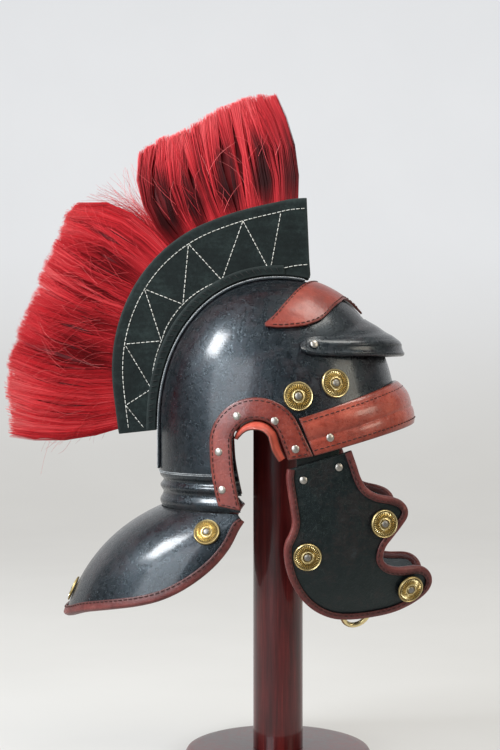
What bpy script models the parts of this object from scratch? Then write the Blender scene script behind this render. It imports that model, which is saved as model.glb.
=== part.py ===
"""Leather centurion helmet on a turned wooden display stand.

The helmet faces +X, +Z is up and the plane y = 0 is its plane of symmetry. The origin is the
centre of the stand base's underside. The skull is a superellipsoid over a straight skirt, and
whatever lies on it is worked out from the same surface, a small gap further out.
Tables and sizes are in millimetres, and MM turns them into Blender's metres.
"""
import math

import bmesh
import bpy
import numpy as np
from mathutils import Matrix, Vector
from mathutils.geometry import delaunay_2d_cdt

MM = 0.001

# ------------------------------------------------------------------ driving dimensions, mm
SKULL_LENGTH = 236.0        # outside, front to back
SKULL_WIDTH = 190.0         # outside, ear to ear
SKULL_HEIGHT = 147.0        # from the widest level up to the crown
SKULL_LEVEL = 340.0         # height of the widest level over the table
SKULL_POWER = 2.15          # 2 is an ellipse, more is squarer
LEATHER = 3.0               # skull, neck guard and brow band
THIN_LEATHER = 2.0          # plates, straps and trim
BINDING_LEATHER = 1.5       # the strips folded round the edges
FIT = 0.6                   # gap under anything that lies on the skull
BROW_FIT = 1.0              # the same under the brow band
NAPE_RIM = 262.0            # lower edge of the skull behind the ears
NAPE_TOP = 296.0            # where the two nape rolls begin
BROW_FLARE = 17.0           # how far the brow stands out at its lower edge

BASE_RADIUS = 93.0
BASE_THICKNESS = 20.0
POLE_RADIUS = 24.75
CAP_RADIUS = 46.0
CAP_DEPTH = 24.0
CAP_FIT = 2.0               # room between the cap and the crown

EAR_CENTRE = (-22.0, 327.0)     # x and z of the ear arch's centre
EAR_INNER = 22.5
EAR_OUTER = 42.5
EAR_HOLE = 24.5

CREST_CENTRE = (0.0, 398.0)     # x and z that the crest's arcs are drawn from
CREST_WIDTH = 30.0
CREST_LEATHER = 2.5
CREST_FRONT = 32.0              # x of the crest's front edge
STRIP_HALF_WIDTH = 19.0
ROSETTE_RADIUS = 14.0
RIVET_RADIUS = 3.8

HALF_LENGTH = SKULL_LENGTH / 2
HALF_WIDTH = SKULL_WIDTH / 2
SIDES = {"right": -1.0, "left": 1.0}

# ------------------------------------------------------------------ colours
BLACK_LEATHER = ("black_leather", (0.012, 0.015, 0.016), 0.28, 0.0)
RED_LEATHER = ("red_leather", (0.230, 0.040, 0.028), 0.35, 0.0)
BRIGHT_RED_LEATHER = ("bright_red_leather", (0.420, 0.070, 0.045), 0.40, 0.0)
CREST_LEATHER_FINISH = ("crest_leather", (0.018, 0.024, 0.023), 0.55, 0.0)
RED_HAIR = ("red_hair", (0.380, 0.010, 0.025), 0.60, 0.0)
BRASS = ("brass", (0.640, 0.420, 0.130), 0.25, 1.0)
NICKEL = ("nickel", (0.560, 0.540, 0.500), 0.30, 1.0)
DARK_WOOD = ("dark_wood", (0.045, 0.008, 0.006), 0.15, 0.0)


# ------------------------------------------------------------------ scene and mesh helpers
def new_collection(name):
    """Link a new collection to the scene."""
    collection = bpy.data.collections.new(name)
    bpy.context.scene.collection.children.link(collection)
    return collection


def clear_scene():
    """Remove every object, so that the script can be run again in an open file."""
    for thing in list(bpy.data.objects):
        bpy.data.objects.remove(thing, do_unlink=True)


def material(finish):
    """Return the Principled material of a (name, colour, roughness, metallic) finish."""
    name, colour, roughness, metallic = finish
    made = bpy.data.materials.get(name)
    if made is None:
        made = bpy.data.materials.new(name)
        made.use_nodes = True
        shader = made.node_tree.nodes["Principled BSDF"]
        shader.inputs["Base Color"].default_value = (*colour, 1.0)
        shader.inputs["Roughness"].default_value = roughness
        shader.inputs["Metallic"].default_value = metallic
    return made


def add_object(name, data, finish):
    """Put mesh or curve data into the helmet's collection with its material."""
    thing = bpy.data.objects.new(name, data)
    if not data.materials:
        data.materials.append(material(finish))
    PARTS.objects.link(thing)
    return thing


def grid_faces(rows, columns, closed):
    """Quads between the rows of a grid; closed joins the last column to the first."""
    faces = []
    for row in range(rows - 1):
        for column in range(columns if closed else columns - 1):
            after = (column + 1) % columns
            faces.append((row * columns + column, row * columns + after,
                          (row + 1) * columns + after, (row + 1) * columns + column))
    return faces


def make_mesh(name, points, faces):
    """Make a smooth-shaded mesh from points in mm."""
    mesh = bpy.data.meshes.new(name)
    mesh.from_pydata((np.asarray(points) * MM).tolist(), [], faces)
    mesh.update()
    mesh.shade_smooth()
    mesh.set_sharp_from_angle(angle=math.radians(35))
    return mesh


def shell(name, grid, thickness, finish, outward, closed=False, tip=None):
    """Solidify an open surface given as rows of points.

    With closed the rows are rings, and tip is a point that closes the last ring with a fan.
    """
    rows, columns, _ = grid.shape
    points = grid.reshape(-1, 3)
    faces = grid_faces(rows, columns, closed)
    if tip is not None:
        last = (rows - 1) * columns
        points = np.vstack([points, tip])
        for column in range(columns):
            faces.append((last + column, last + (column + 1) % columns, rows * columns))
    return wall_from(name, points, faces, thickness, finish, outward)


def wall_from(name, points, faces, thickness, finish, outward):
    """Solidify an open surface towards its outward direction, or inwards if thickness is negative."""
    mesh = make_mesh(name, points, faces)
    lean = sum((face.normal * face.area for face in mesh.polygons), Vector())
    if lean.dot(Vector(outward)) < 0:
        mesh.flip_normals()
    thing = add_object(name, mesh, finish)
    wall = thing.modifiers.new("wall", "SOLIDIFY")
    wall.thickness = abs(thickness) * MM
    wall.offset = math.copysign(1.0, thickness)
    wall.use_even_offset = True
    return thing


def loft(name, sections, finish):
    """Skin a row of closed sections and cap both ends."""
    rows, columns, _ = sections.shape
    faces = grid_faces(rows, columns, closed=True)
    faces.append(tuple(range(columns))[::-1])
    faces.append(tuple((rows - 1) * columns + column for column in range(columns)))
    mesh = make_mesh(name, sections.reshape(-1, 3), faces)
    shape = bmesh.new()
    shape.from_mesh(mesh)
    if shape.calc_volume(signed=True) < 0:
        bmesh.ops.reverse_faces(shape, faces=shape.faces)
    shape.to_mesh(mesh)
    shape.free()
    return add_object(name, mesh, finish)


def turned(name, profile, steps, finish, place):
    """Turn a (radius, height) profile, listed down its outer side, about the local Z axis."""
    points = [(radius, 0.0, height) for radius, height in profile]
    mesh = bpy.data.meshes.new(name)
    edges = [(index, index + 1) for index in range(len(points) - 1)]
    mesh.from_pydata((np.array(points) * MM).tolist(), edges, [])
    thing = add_object(name, mesh, finish)
    thing.matrix_world = place
    screw = thing.modifiers.new("turn", "SCREW")
    screw.steps = steps
    screw.render_steps = steps
    screw.use_merge_vertices = True
    screw.merge_threshold = 0.00001
    screw.use_smooth_shade = True
    return thing


def flat_plate(name, outline, y, thickness, finish):
    """Extrude an outline of (x, z) points to both sides of the plane at y."""
    curve = bpy.data.curves.new(name, "CURVE")
    curve.dimensions = "2D"
    curve.fill_mode = "BOTH"
    curve.extrude = thickness / 2 * MM
    spline = curve.splines.new("POLY")
    spline.points.add(len(outline) - 1)
    for point, (x, z) in zip(spline.points, outline):
        point.co = (x * MM, z * MM, 0.0, 1.0)
    spline.use_cyclic_u = True
    thing = add_object(name, curve, finish)
    thing.location = (0.0, y * MM, 0.0)
    thing.rotation_euler = (math.pi / 2, 0.0, 0.0)
    return thing


def wire_loop(name, points, radius, finish):
    """Bend round wire into a closed loop through the points."""
    curve = bpy.data.curves.new(name, "CURVE")
    curve.dimensions = "3D"
    curve.bevel_depth = radius * MM
    curve.bevel_resolution = 1
    spline = curve.splines.new("POLY")
    spline.points.add(len(points) - 1)
    for point, place in zip(spline.points, points):
        point.co = (*(np.asarray(place) * MM), 1.0)
    spline.use_cyclic_u = True
    return add_object(name, curve, finish)


# ------------------------------------------------------------------ curves and surfaces
def unit(vectors):
    """Scale vectors to length 1."""
    vectors = np.asarray(vectors, dtype=float)
    return vectors / np.linalg.norm(vectors, axis=-1, keepdims=True)


def smooth_path(points, count):
    """A Catmull-Rom curve through the points, resampled at equal steps of its length."""
    points = np.asarray(points, dtype=float)
    ends = np.vstack([2 * points[0] - points[1], points, 2 * points[-1] - points[-2]])
    share = np.linspace(0, 1, 12, endpoint=False)[:, None]
    pieces = []
    for index in range(len(points) - 1):
        before, start, end, after = ends[index:index + 4]
        pieces.append(0.5 * (2 * start + (end - before) * share
                             + (2 * before - 5 * start + 4 * end - after) * share ** 2
                             + (3 * start - before - 3 * end + after) * share ** 3))
    fine = np.vstack(pieces + [points[-1:]])
    length = np.concatenate([[0], np.cumsum(np.linalg.norm(np.diff(fine, axis=0), axis=1))])
    wanted = np.linspace(0, length[-1], count)
    return np.stack([np.interp(wanted, length, fine[:, axis]) for axis in range(fine.shape[1])], axis=1)


def table_curve(table, column, at, key=0):
    """Read a column of a table at the values `at` of its key column."""
    table = np.asarray(table, dtype=float)
    return np.interp(at, table[:, key], table[:, column])


def signed_power(value, power):
    """Raise the size of a value to a power and keep its sign."""
    return np.sign(value) * np.abs(value) ** power


def skull_normal(x, y, z):
    """Outward normal of the superellipsoid through each point."""
    rise = np.maximum(z - SKULL_LEVEL, 0.0)
    return unit(np.stack([signed_power(x / HALF_LENGTH, SKULL_POWER - 1) / HALF_LENGTH,
                          signed_power(y / HALF_WIDTH, SKULL_POWER - 1) / HALF_WIDTH,
                          (rise / SKULL_HEIGHT) ** (SKULL_POWER - 1) / SKULL_HEIGHT + 0 * x], axis=-1))


def brow_top(x):
    """Height of the brow band's upper edge over the skull's x."""
    return 345.5 + 0.27 * x + 0.0004 * x * x


def brow_bottom(x):
    """Height of the brow band's lower edge over the skull's x."""
    return 307.5 + 0.24 * x + 0.0006 * x * x


NAPE_PROFILE = (            # share of the skirt's height, how far the wall is pressed in
    (0.00, 2.6), (0.18, 0.5), (0.41, 3.8), (0.60, 0.6), (0.76, 4.0), (0.88, 0.8), (1.00, 0.0))


def skirt_offset(x, share):
    """How far the skirt stands out of the plain wall at a share of its height.

    In front of the ears it swells out and curls in again at the brow's lower edge, and behind
    them it is pressed into two rolls round the nape.
    """
    swell = np.clip(1 - share, 0, 1) ** 0.6 - 0.22 * np.clip(1 - share, 0, 1) ** 6
    flare = BROW_FLARE * np.clip((x - 25.0) / (HALF_LENGTH - 25.0), 0, 1) ** 1.2
    rolls = table_curve(NAPE_PROFILE, 1, share) * np.clip((-x - 30.0) / 15.0, 0, 1)
    return flare * swell - rolls


def skull_at_angle(angle, z, out=0.0):
    """Points of the skull at plan angles from the front, at heights z, moved out by out."""
    rise = np.clip((z - SKULL_LEVEL) / SKULL_HEIGHT, 0, 1)
    size = (1 - rise ** SKULL_POWER) ** (1 / SKULL_POWER)
    x = HALF_LENGTH * size * signed_power(np.cos(angle), 2 / SKULL_POWER)
    y = HALF_WIDTH * size * signed_power(np.sin(angle), 2 / SKULL_POWER)
    points = np.stack([x, y, z + 0 * x], axis=-1)
    return points + skull_normal(x, y, z) * np.asarray(out)[..., None]


def skull_over_plan(x, y, out=0.0):
    """Points of the dome over plan places x, y."""
    left = 1 - np.abs(x / HALF_LENGTH) ** SKULL_POWER - np.abs(y / HALF_WIDTH) ** SKULL_POWER
    z = SKULL_LEVEL + SKULL_HEIGHT * np.maximum(left, 0) ** (1 / SKULL_POWER)
    return np.stack([x, y, z], axis=-1) + skull_normal(x, y, z) * np.asarray(out)[..., None]


def skull_from_side(x, z, side, out=0.0):
    """Points of the skull's side wall seen at x, z; side is -1 for the right, 1 for the left."""
    rise = np.clip((z - SKULL_LEVEL) / SKULL_HEIGHT, 0, 1)
    left = 1 - rise ** SKULL_POWER - np.abs(x / HALF_LENGTH) ** SKULL_POWER
    y = side * HALF_WIDTH * np.maximum(left, 0) ** (1 / SKULL_POWER)
    return np.stack([x, y, z + 0 * x], axis=-1) + skull_normal(x, y, z) * np.asarray(out)[..., None]


def crown_line(turn, y=0.0, out=0.0):
    """Points of the crown's middle line at superelliptic angles from the front, at width y."""
    shrink = (1 - np.abs(y / HALF_WIDTH) ** SKULL_POWER) ** (1 / SKULL_POWER)
    x = HALF_LENGTH * signed_power(np.cos(turn), 2 / SKULL_POWER) * shrink
    z = SKULL_LEVEL + SKULL_HEIGHT * signed_power(np.sin(turn), 2 / SKULL_POWER) * shrink
    z = np.where(z < SKULL_LEVEL, SKULL_LEVEL + (z - SKULL_LEVEL) / shrink, z)
    return np.stack([x, y + 0 * x, z], axis=-1) + skull_normal(x, y + 0 * x, z) * out


# ------------------------------------------------------------------ stand
def build_stand():
    """A turned base, a plain pole and the cap that carries the crown."""
    edge = BASE_RADIUS
    top = BASE_THICKNESS
    base = [(0, top), (edge - 6.5, top), (edge - 2.5, top - 1.5), (edge, top - 6), (edge, 4),
            (edge - 3, 0), (0, 0)]
    turned("stand_base", base, 36, DARK_WOOD, Matrix())
    inside = SKULL_HEIGHT - LEATHER - CAP_FIT
    radii = np.linspace(0, CAP_RADIUS, 5)
    across = radii / (HALF_WIDTH - LEATHER - 1)
    dome = SKULL_LEVEL + inside * (1 - across ** SKULL_POWER) ** (1 / SKULL_POWER)
    underside = dome[-1] - CAP_DEPTH / 2
    cap = list(zip(radii, dome)) + [(CAP_RADIUS - 4, underside), (0, underside)]
    turned("stand_cap", cap, 24, DARK_WOOD, Matrix())
    pole = [(0, underside - 0.3), (POLE_RADIUS, underside - 0.3), (POLE_RADIUS, top + 0.3), (0, top + 0.3)]
    turned("stand_pole", pole, 32, DARK_WOOD, Matrix())


# ------------------------------------------------------------------ skull and neck guard
def skirt_heights(x):
    """Lower and upper height of the skirt at plan x: brow in front, nape behind the ears."""
    front = x > EAR_CENTRE[0]
    low = np.where(front, brow_bottom(np.maximum(x, 0)) + 1.5, NAPE_RIM)
    high = np.where(front, brow_top(np.maximum(x, 0)), NAPE_TOP)
    return low, high


def build_skull():
    """The hollow skull, with an arch cut out over each ear."""
    columns = 38
    dome_rows = 6
    angles = np.linspace(0, 2 * math.pi, columns, endpoint=False)
    plan_x = HALF_LENGTH * signed_power(np.cos(angles), 2 / SKULL_POWER)
    low, high = skirt_heights(plan_x)
    rows = [skull_at_angle(angles, low + share * (high - low), skirt_offset(plan_x, share))
            for share, _ in NAPE_PROFILE]
    crown = SKULL_LEVEL + SKULL_HEIGHT
    for step in range(1, dome_rows + 1):
        lift = math.sin(step / (dome_rows + 0.8) * math.pi / 2)
        rows.append(skull_at_angle(angles, high + lift * (crown - high)))
    skull = shell("skull", np.array(rows), -LEATHER, BLACK_LEATHER, (0, 0, 1), closed=True, tip=(0, 0, crown))
    cut = skull.modifiers.new("ear_arches", "BOOLEAN")
    cut.object = ear_cutter()
    cut.solver = "EXACT"


def ear_cutter():
    """A prism through both ears: round on top, open below, its front leg leaning forwards."""
    x, z = EAR_CENTRE
    turn = np.radians(np.linspace(180, 28, 12))
    outline = [(-34.5, 250.0), (-41.5, 286.0), (-45.5, 306.0)]
    outline += [(x + EAR_HOLE * math.cos(a), z + EAR_HOLE * math.sin(a)) for a in turn]
    outline += [(8.5, 312.0), (10.5, 307.0), (10.5, 250.0)]
    sections = np.array([[(px, y, pz) for px, pz in outline] for y in (-130.0, 130.0)])
    cutter = loft("ear_cutter", sections, BLACK_LEATHER)
    PARTS.objects.unlink(cutter)
    CUTTERS.objects.link(cutter)
    cutter.hide_render = True
    cutter.display_type = "WIRE"
    return cutter


NECK_EDGE = (               # x, y, z along the neck guard's edge, from behind the ear to the middle
    (-36, 89, 254.5), (-41, 91, 247), (-50, 94, 230), (-65, 98, 212.5), (-86, 101, 196.5), (-108, 100, 185),
    (-131, 95, 178), (-158, 82, 172.5), (-183, 60, 166.5), (-200, 34, 159), (-207, 14, 155.5), (-208, 0, 155))
NECK_BULGE = 0.117          # rise of the guard over its chord, as a share of the chord
NECK_COLUMNS = 26
NECK_BINDING = 6.5          # how far the binding covers the guard's face
NECK_BINDING_ROOM = 1.0     # gap inside the binding's fold
NECK_SPREAD = math.radians(72)     # plan angle from the middle to either end of the guard
NECK_MIDDLE = (-60.0, 0.0, 150.0)  # a place inside, under the guard
NECK_SHARES = (0.0, 0.2, 0.4, 0.62, 0.82, 0.94, 1.0)
NECK_ROSETTE_RADIUS = 12.6
NECK_ROSETTES = (           # name, place around, share down
    ("right", -0.80, 0.40), ("rear", 0.0, 0.85), ("left", 0.80, 0.40))


def neck_surface(columns, shares):
    """Rows of the neck guard from the skull's rim (share 0) to its edge (share 1).

    Each line runs from the rim to the edge and rises in a parabola over its chord.
    """
    half = smooth_path(NECK_EDGE, columns // 2 + 1)
    edge = np.vstack([half[:-1] * (1, -1, 1), half[::-1]])
    around = np.linspace(-1, 1, len(edge))
    angles = math.pi - around * NECK_SPREAD
    rim = skull_at_angle(angles, NAPE_RIM - 3.2 + 0 * angles, -3.0)
    chord = edge - rim
    length = np.linalg.norm(chord, axis=1, keepdims=True)
    run = np.linalg.norm(chord[:, :2], axis=1)
    outward = unit(np.stack([rim[:, 0] / HALF_LENGTH, rim[:, 1] / HALF_WIDTH, 0 * run], axis=1))
    rise = unit(outward * -chord[:, 2:3] + np.stack([0 * run, 0 * run, run], axis=1))
    rows = [rim + chord * share + rise * length * (4 * NECK_BULGE * share * (1 - share)) for share in shares]
    return np.array(rows)


def edge_binding(name, edge, inward, normal, wall, reach, room, finish):
    """A leather strip folded round a wall's edge: a C section carried along it.

    edge holds the points on the wall's outer face, inward points from the edge into the
    wall's face and normal out of the face; reach is how far the strip covers the face at
    each point and room the gap inside the fold.
    """
    fold = -room - BINDING_LEATHER
    sections = []
    for point, into, out, cover in zip(edge, inward, normal, reach):
        section = (     # along into, along out
            (cover, room), (cover, -fold), (fold, room), (fold, -wall - room),
            (cover, fold - wall), (cover, -wall - room), (-room, -wall - room), (-room, room))
        sections.append([point + into * a + out * b for a, b in section])
    loft(name, np.array(sections), finish)


def neck_grid(columns, shares):
    """The neck guard's rows and their outward normals, by central differences."""
    rows = neck_surface(columns, shares)
    normals = unit(np.cross(np.gradient(rows, axis=0), np.gradient(rows, axis=1)))
    return rows, normals * np.sign((normals * (rows - NECK_MIDDLE)).sum(axis=2, keepdims=True))


def build_neck_guard():
    """The flaring neck guard, the strip bound round its edge and its three rosettes."""
    rows, normals = neck_grid(NECK_COLUMNS, NECK_SHARES)
    shell("neck_guard", rows, LEATHER, BLACK_LEATHER, (-1, 0, 1))
    edge = rows[-1]
    inward = unit(np.cross(normals[-1], np.gradient(edge, axis=0)))
    inward *= np.sign((inward * (rows[-2] - edge)).sum(axis=1, keepdims=True))
    reach = np.minimum(NECK_BINDING, 0.7 * np.linalg.norm(rows[0] - edge, axis=1))
    edge_binding("neck_binding", edge + normals[-1] * LEATHER, inward, normals[-1], LEATHER, reach,
                 NECK_BINDING_ROOM, RED_LEATHER)
    fine, fine_normals = neck_grid(100, np.linspace(0, 1, 21))
    for label, around, share in NECK_ROSETTES:
        place = round(share * 20), round((around + 1) * 50)
        rosette(f"neck_rosette_{label}", fine[place] + fine_normals[place] * (LEATHER + 0.5),
                fine_normals[place], NECK_ROSETTE_RADIUS)


# ------------------------------------------------------------------ crest
CREST_RIM = (               # angle in degrees from +X, radius of the box's rim
    (80, 171.0), (86, 167.5), (93, 163.0), (102, 160.5), (112, 160.0), (125, 162.0),
    (145, 164.0), (170, 164.5), (188, 165.0), (196, 167.0), (203, 171.0))
PLUMES = {                  # angle at the rim, angle at the tip, radius of the tip, how late it bends
    "crest_hair_front": (
        (83, 90.0, 271, 1.6), (92, 94.5, 270, 1.6), (101, 100, 267, 1.6), (109, 107, 261, 1.6),
        (117, 113.5, 253, 1.7), (125, 118.5, 257, 2.0), (131.6, 122.7, 257, 2.6)),
    "crest_hair_rear": (
        (132.3, 140.6, 258, 3.3), (138.5, 143.5, 260, 2.3), (147, 148.5, 255, 1.7), (156, 156, 254, 1.6),
        (165, 163, 254, 1.6), (173, 169, 257, 1.6), (180, 175, 265, 1.6), (188, 182, 269, 1.6),
        (195, 188, 271, 1.6), (201, 194, 274, 1.6))}
HAIR_ROOT = 7.0             # how deep the hair sits between the crest's sides
HAIR_LEVELS = (             # share of the hair's length, half its thickness
    (0.00, 11.4), (0.36, 14.0), (0.70, 11.2), (1.00, 7.5))


def crest_place(angle_deg, radius, y=0.0):
    """A point at a polar place about the crest's centre."""
    angle = np.radians(angle_deg)
    x = CREST_CENTRE[0] + radius * np.cos(angle)
    return np.stack([x, y + 0 * x, CREST_CENTRE[1] + radius * np.sin(angle)], axis=-1)


def crest_outline(top_inset, foot_out):
    """Side outline of the crest: its rim drawn in by top_inset, its foot foot_out off the crown."""
    angles = np.linspace(80.5, 202.5, 25)
    rim = crest_place(angles, table_curve(CREST_RIM, 1, angles) - top_inset)
    turn = np.linspace(math.radians(181), math.radians(70), 21)
    foot = crown_line(turn, 0.0, foot_out)
    foot = foot[foot[:, 0] < CREST_FRONT - 1]
    corner = np.array([[CREST_FRONT, 0, foot[-1, 2] + 1.5]])
    return np.vstack([rim, foot, corner])[:, [0, 2]]


def build_crest():
    """Two leather sides, the block between them and the two plumes of hair."""
    for word, side in SIDES.items():
        flat_plate(f"crest_panel_{word}", crest_outline(0.0, 2.8),
                   side * (CREST_WIDTH - CREST_LEATHER) / 2, CREST_LEATHER, CREST_LEATHER_FINISH)
    core = CREST_WIDTH - 2 * CREST_LEATHER - 0.8
    flat_plate("crest_core", crest_outline(HAIR_ROOT + 1.0, 3.2), 0.0, core, CREST_LEATHER_FINISH)
    for name, rows in PLUMES.items():
        build_plume(name, rows)


def build_plume(name, rows):
    """One clump of hair: locks side by side, each wider and longer in its middle, fused in one solid."""
    rows = np.array(rows, dtype=float)
    locks = 2 * (len(rows) + 3)
    place = np.linspace(0, len(rows) - 1, locks + 1)
    root, tip, reach, late = (np.interp(place, np.arange(len(rows)), column) for column in rows.T)
    start = table_curve(CREST_RIM, 1, root) - HAIR_ROOT
    sections = []
    for index in range(locks + 1):
        ridge = index % 2
        half = []
        for share, thickness in HAIR_LEVELS:
            bend = share ** late[index]
            angle = root[index] + (tip[index] - root[index]) * bend
            radius = start[index] + (reach[index] - 5 * (1 - ridge) - start[index]) * share
            spread = thickness - 1.8 * (1 - ridge) * share
            half.append(crest_place(angle, radius, spread))
        half = np.array(half)
        sections.append(np.vstack([half, half[::-1] * (1, -1, 1)]))
    loft(name, np.array(sections), RED_HAIR)


def build_crown_strip():
    """The strip sewn over the middle of the skull, under the crest."""
    turn = np.linspace(math.radians(78.5), math.radians(180), 17)
    widths = np.linspace(-STRIP_HALF_WIDTH, STRIP_HALF_WIDTH, 4)
    rows = np.array([crown_line(turn, y, FIT) for y in widths])
    foot = rows[:, -1:] * (1, 1, 0) + (0, 0, NAPE_TOP + 3)
    rows = np.concatenate([rows, foot], axis=1)
    shell("crown_strip", rows, THIN_LEATHER, BLACK_LEATHER, (-0.5, 0, 1))


# ------------------------------------------------------------------ brow
BROW_PLATE = (              # x and y of the rear edge, x and y of the front edge, from the tip to the middle
    (-14, 73, -13, 74.5), (-4, 68, 0, 75.5), (8, 57, 14, 74.5), (17, 45, 28, 71), (26, 30, 43, 61.5),
    (31.5, 17, 57.5, 39), (35, 7, 67, 15), (36.5, 0, 82, 0))
PEAK_EDGE = (               # angle from the front, height of the seam, then height and reach of rim and foot
    (0, 446, 425, 23.5, 409.5, 20.0), (15, 445.5, 425, 22.5, 409.5, 19), (30, 442, 424.5, 19.5, 409, 16),
    (45, 436, 424, 15, 409, 11.5), (56, 431.5, 423.5, 10.5, 408.5, 8), (65, 428.5, 423.5, 7, 408.5, 5.5),
    (72, 427, 424.5, 4.5, 409, 4.4), (77, 425.5, 424, 4, 410.5, 4), (80.5, 421.5, 420.5, 3.9, 413.5, 3.9))


def build_brow_plate():
    """The crescent plate over the brow, one piece across the front."""
    half = smooth_path(BROW_PLATE, 15)
    rear = np.vstack([half[:-1, :2] * (1, -1), half[::-1, :2]])
    front = np.vstack([half[:-1, 2:] * (1, -1), half[::-1, 2:]])
    rows = []
    for share in np.linspace(0, 1, 4):
        place = rear + (front - rear) * share
        rows.append(skull_over_plan(place[:, 0], place[:, 1], FIT + 0.6))
    shell("brow_plate", np.array(rows), THIN_LEATHER, RED_LEATHER, (0.3, 0, 1))


def build_peak():
    """The horseshoe peak: a sheet rising off the brow to a fat rolled rim, with a tab at each end."""
    clear = FIT + 0.4
    angles = np.linspace(-PEAK_EDGE[-1][0], PEAK_EDGE[-1][0], 29)
    sections = []
    for angle in angles:
        turn = math.radians(angle)
        seam, top, top_reach, foot, foot_reach = (
            table_curve(PEAK_EDGE, column, abs(angle)) for column in range(1, 6))
        outward = unit([math.cos(turn) / HALF_LENGTH, math.sin(turn) / HALF_WIDTH, 0.0])
        roll = min(7.0, foot_reach - clear)
        upper = skull_at_angle(turn, top) + outward * top_reach
        lower = skull_at_angle(turn, foot) + outward * foot_reach
        under = skull_at_angle(turn, top - LEATHER - 1.0) + outward * max(clear + 0.3, top_reach - roll - 1.5)
        sections.append([
            skull_at_angle(turn, seam, clear), upper - outward * 2.0,
            upper - (0, 0, 2.5), lower + (0, 0, 2.0),
            lower - outward * 2.0, lower - outward * roll, under, skull_at_angle(turn, seam - 3.5, clear)])
    loft("brow_peak", np.array(sections), BLACK_LEATHER)


def brow_band_grid(columns, shares, lift):
    """Rows of the brow band from its upper to its lower edge, lift off the flared skirt.

    The band's ends are cut along the front leg of the ear band.
    """
    rows = []
    for share in shares:
        end_x = EAR_FOOT[2] + 1.2 + (16.0 - EAR_FOOT[2]) * share
        end = math.acos((end_x / HALF_LENGTH) ** (SKULL_POWER / 2))
        angles = np.linspace(-end, end, columns)
        x = HALF_LENGTH * np.cos(angles) ** (2 / SKULL_POWER)
        height = brow_bottom(x) + share * (brow_top(x) - brow_bottom(x))
        rows.append(skull_at_angle(angles, height, skirt_offset(x, share) + lift))
    return np.array(rows)


def build_brow_band():
    """The bulging band over the brow, from ear to ear."""
    rows = brow_band_grid(25, (1.0, 0.88, 0.63, 0.27, 0.0), BROW_FIT)
    shell("brow_band", rows, LEATHER, RED_LEATHER, (1, 0, 0))


# ------------------------------------------------------------------ ears
EAR_LEG = (                 # x, z of the inner edge, x, z of the outer edge, rear leg from its foot up
    (-36.0, 264.0, -56.5, 268.0), (-39.5, 281.0, -60.5, 285.0), (-43.0, 302.0, -63.5, 305.0))
EAR_FOOT = (7.5, 311.5, 30.5, 315.0)        # the same at the foot of the front leg


def ear_edges(inner, outer, count):
    """Inner and outer edge of the arch round the ear, as rows of x and z."""
    x, z = EAR_CENTRE
    turn = np.radians(np.linspace(178, 26, count))
    arc = [(x + inner * math.cos(angle), z + inner * math.sin(angle),
            x + outer * math.cos(angle), z + outer * math.sin(angle)) for angle in turn]
    foot = np.array(EAR_FOOT)
    middle = (np.array(arc[-1]) + foot) / 2
    return np.array(list(EAR_LEG) + arc + [middle, foot])


def build_ears():
    """The arched band round each ear and the ear guard that juts out of the opening."""
    for word, side in SIDES.items():
        edges = ear_edges(EAR_INNER, EAR_OUTER, 13)
        rows = []
        for share in np.linspace(0, 1, 3):
            place = edges[:, :2] + (edges[:, 2:] - edges[:, :2]) * share
            rows.append(skull_from_side(place[:, 0], place[:, 1], side, FIT))
        shell(f"ear_band_{word}", np.array(rows), LEATHER, RED_LEATHER, (0, side, 0))
        build_ear_guard(word, side)


def build_ear_guard(word, side):
    """A stiff strip that follows the opening's top and front, drooping as it juts out."""
    x, z = EAR_CENTRE
    wall = 2.6
    radius = EAR_INNER - 0.8
    turn = np.radians(np.linspace(168, 26, 12))
    path = [(x + radius * math.cos(a), z + radius * math.sin(a)) for a in turn]
    path += [(1.2, 324.0), (5.8, 314.0)]
    path = np.array(path)
    along = unit(np.gradient(path, axis=0))
    inward = np.stack([along[:, 1], -along[:, 0]], axis=1)
    reach = np.interp(np.linspace(0, 1, len(path)), (0, 0.35, 0.85, 1), (4, 14, 16, 13))
    root_y = np.abs(skull_from_side(path[:, 0], path[:, 1], side)[:, 1]) - LEATHER
    sections = []
    for place, into, jut, start in zip(path, inward, reach, root_y):
        corners = []
        for depth, extra in ((0, 0), (0.5, 0.12), (1, 0.45), (1, 0.45), (0.5, 0.12), (0, 0)):
            corners.append((place + into * jut * extra, start + jut * depth))
        section = []
        for index, (point, y) in enumerate(corners):
            point = point + into * (wall if index > 2 else 0.0)
            section.append((point[0], side * y, point[1]))
        sections.append(section)
    loft(f"ear_guard_{word}", np.array(sections), BRIGHT_RED_LEATHER)


# ------------------------------------------------------------------ cheek guards
CHEEK_MIDDLE = (70.0, 200.0)
CHEEK_EDGE = (              # x, z from the upper rear corner down, round the chin and up to the front corner
    (6.5, 303), (5.8, 292), (9.5, 267), (11.3, 253), (9, 243), (4.5, 233), (3.6, 223), (5.6, 209),
    (10.5, 194.5), (20.5, 178), (34, 165.5), (50, 158), (67, 156), (88.5, 157.5), (111, 161.6),
    (130, 169.5), (143, 179), (148.4, 188), (148, 197), (142.5, 204.3), (133, 207.6), (116, 207),
    (105.4, 209.3), (99.4, 214.5), (99, 221), (101.6, 228.5), (107.5, 236), (116.5, 247),
    (122.4, 256), (122.2, 264.5), (116, 271.8), (106, 275.8), (92, 279), (82, 285.3), (76.3, 295),
    (72.6, 306), (67.6, 320))
CHEEK_LEATHER = 2.8
CHEEK_GRID = 14.0               # spacing of the points inside the cheek guard's outline
RING_PLACE = (77.0, 158.5)      # x, z of the ring's bar, behind the cheek guard
RING_TILT = 8.0


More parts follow.
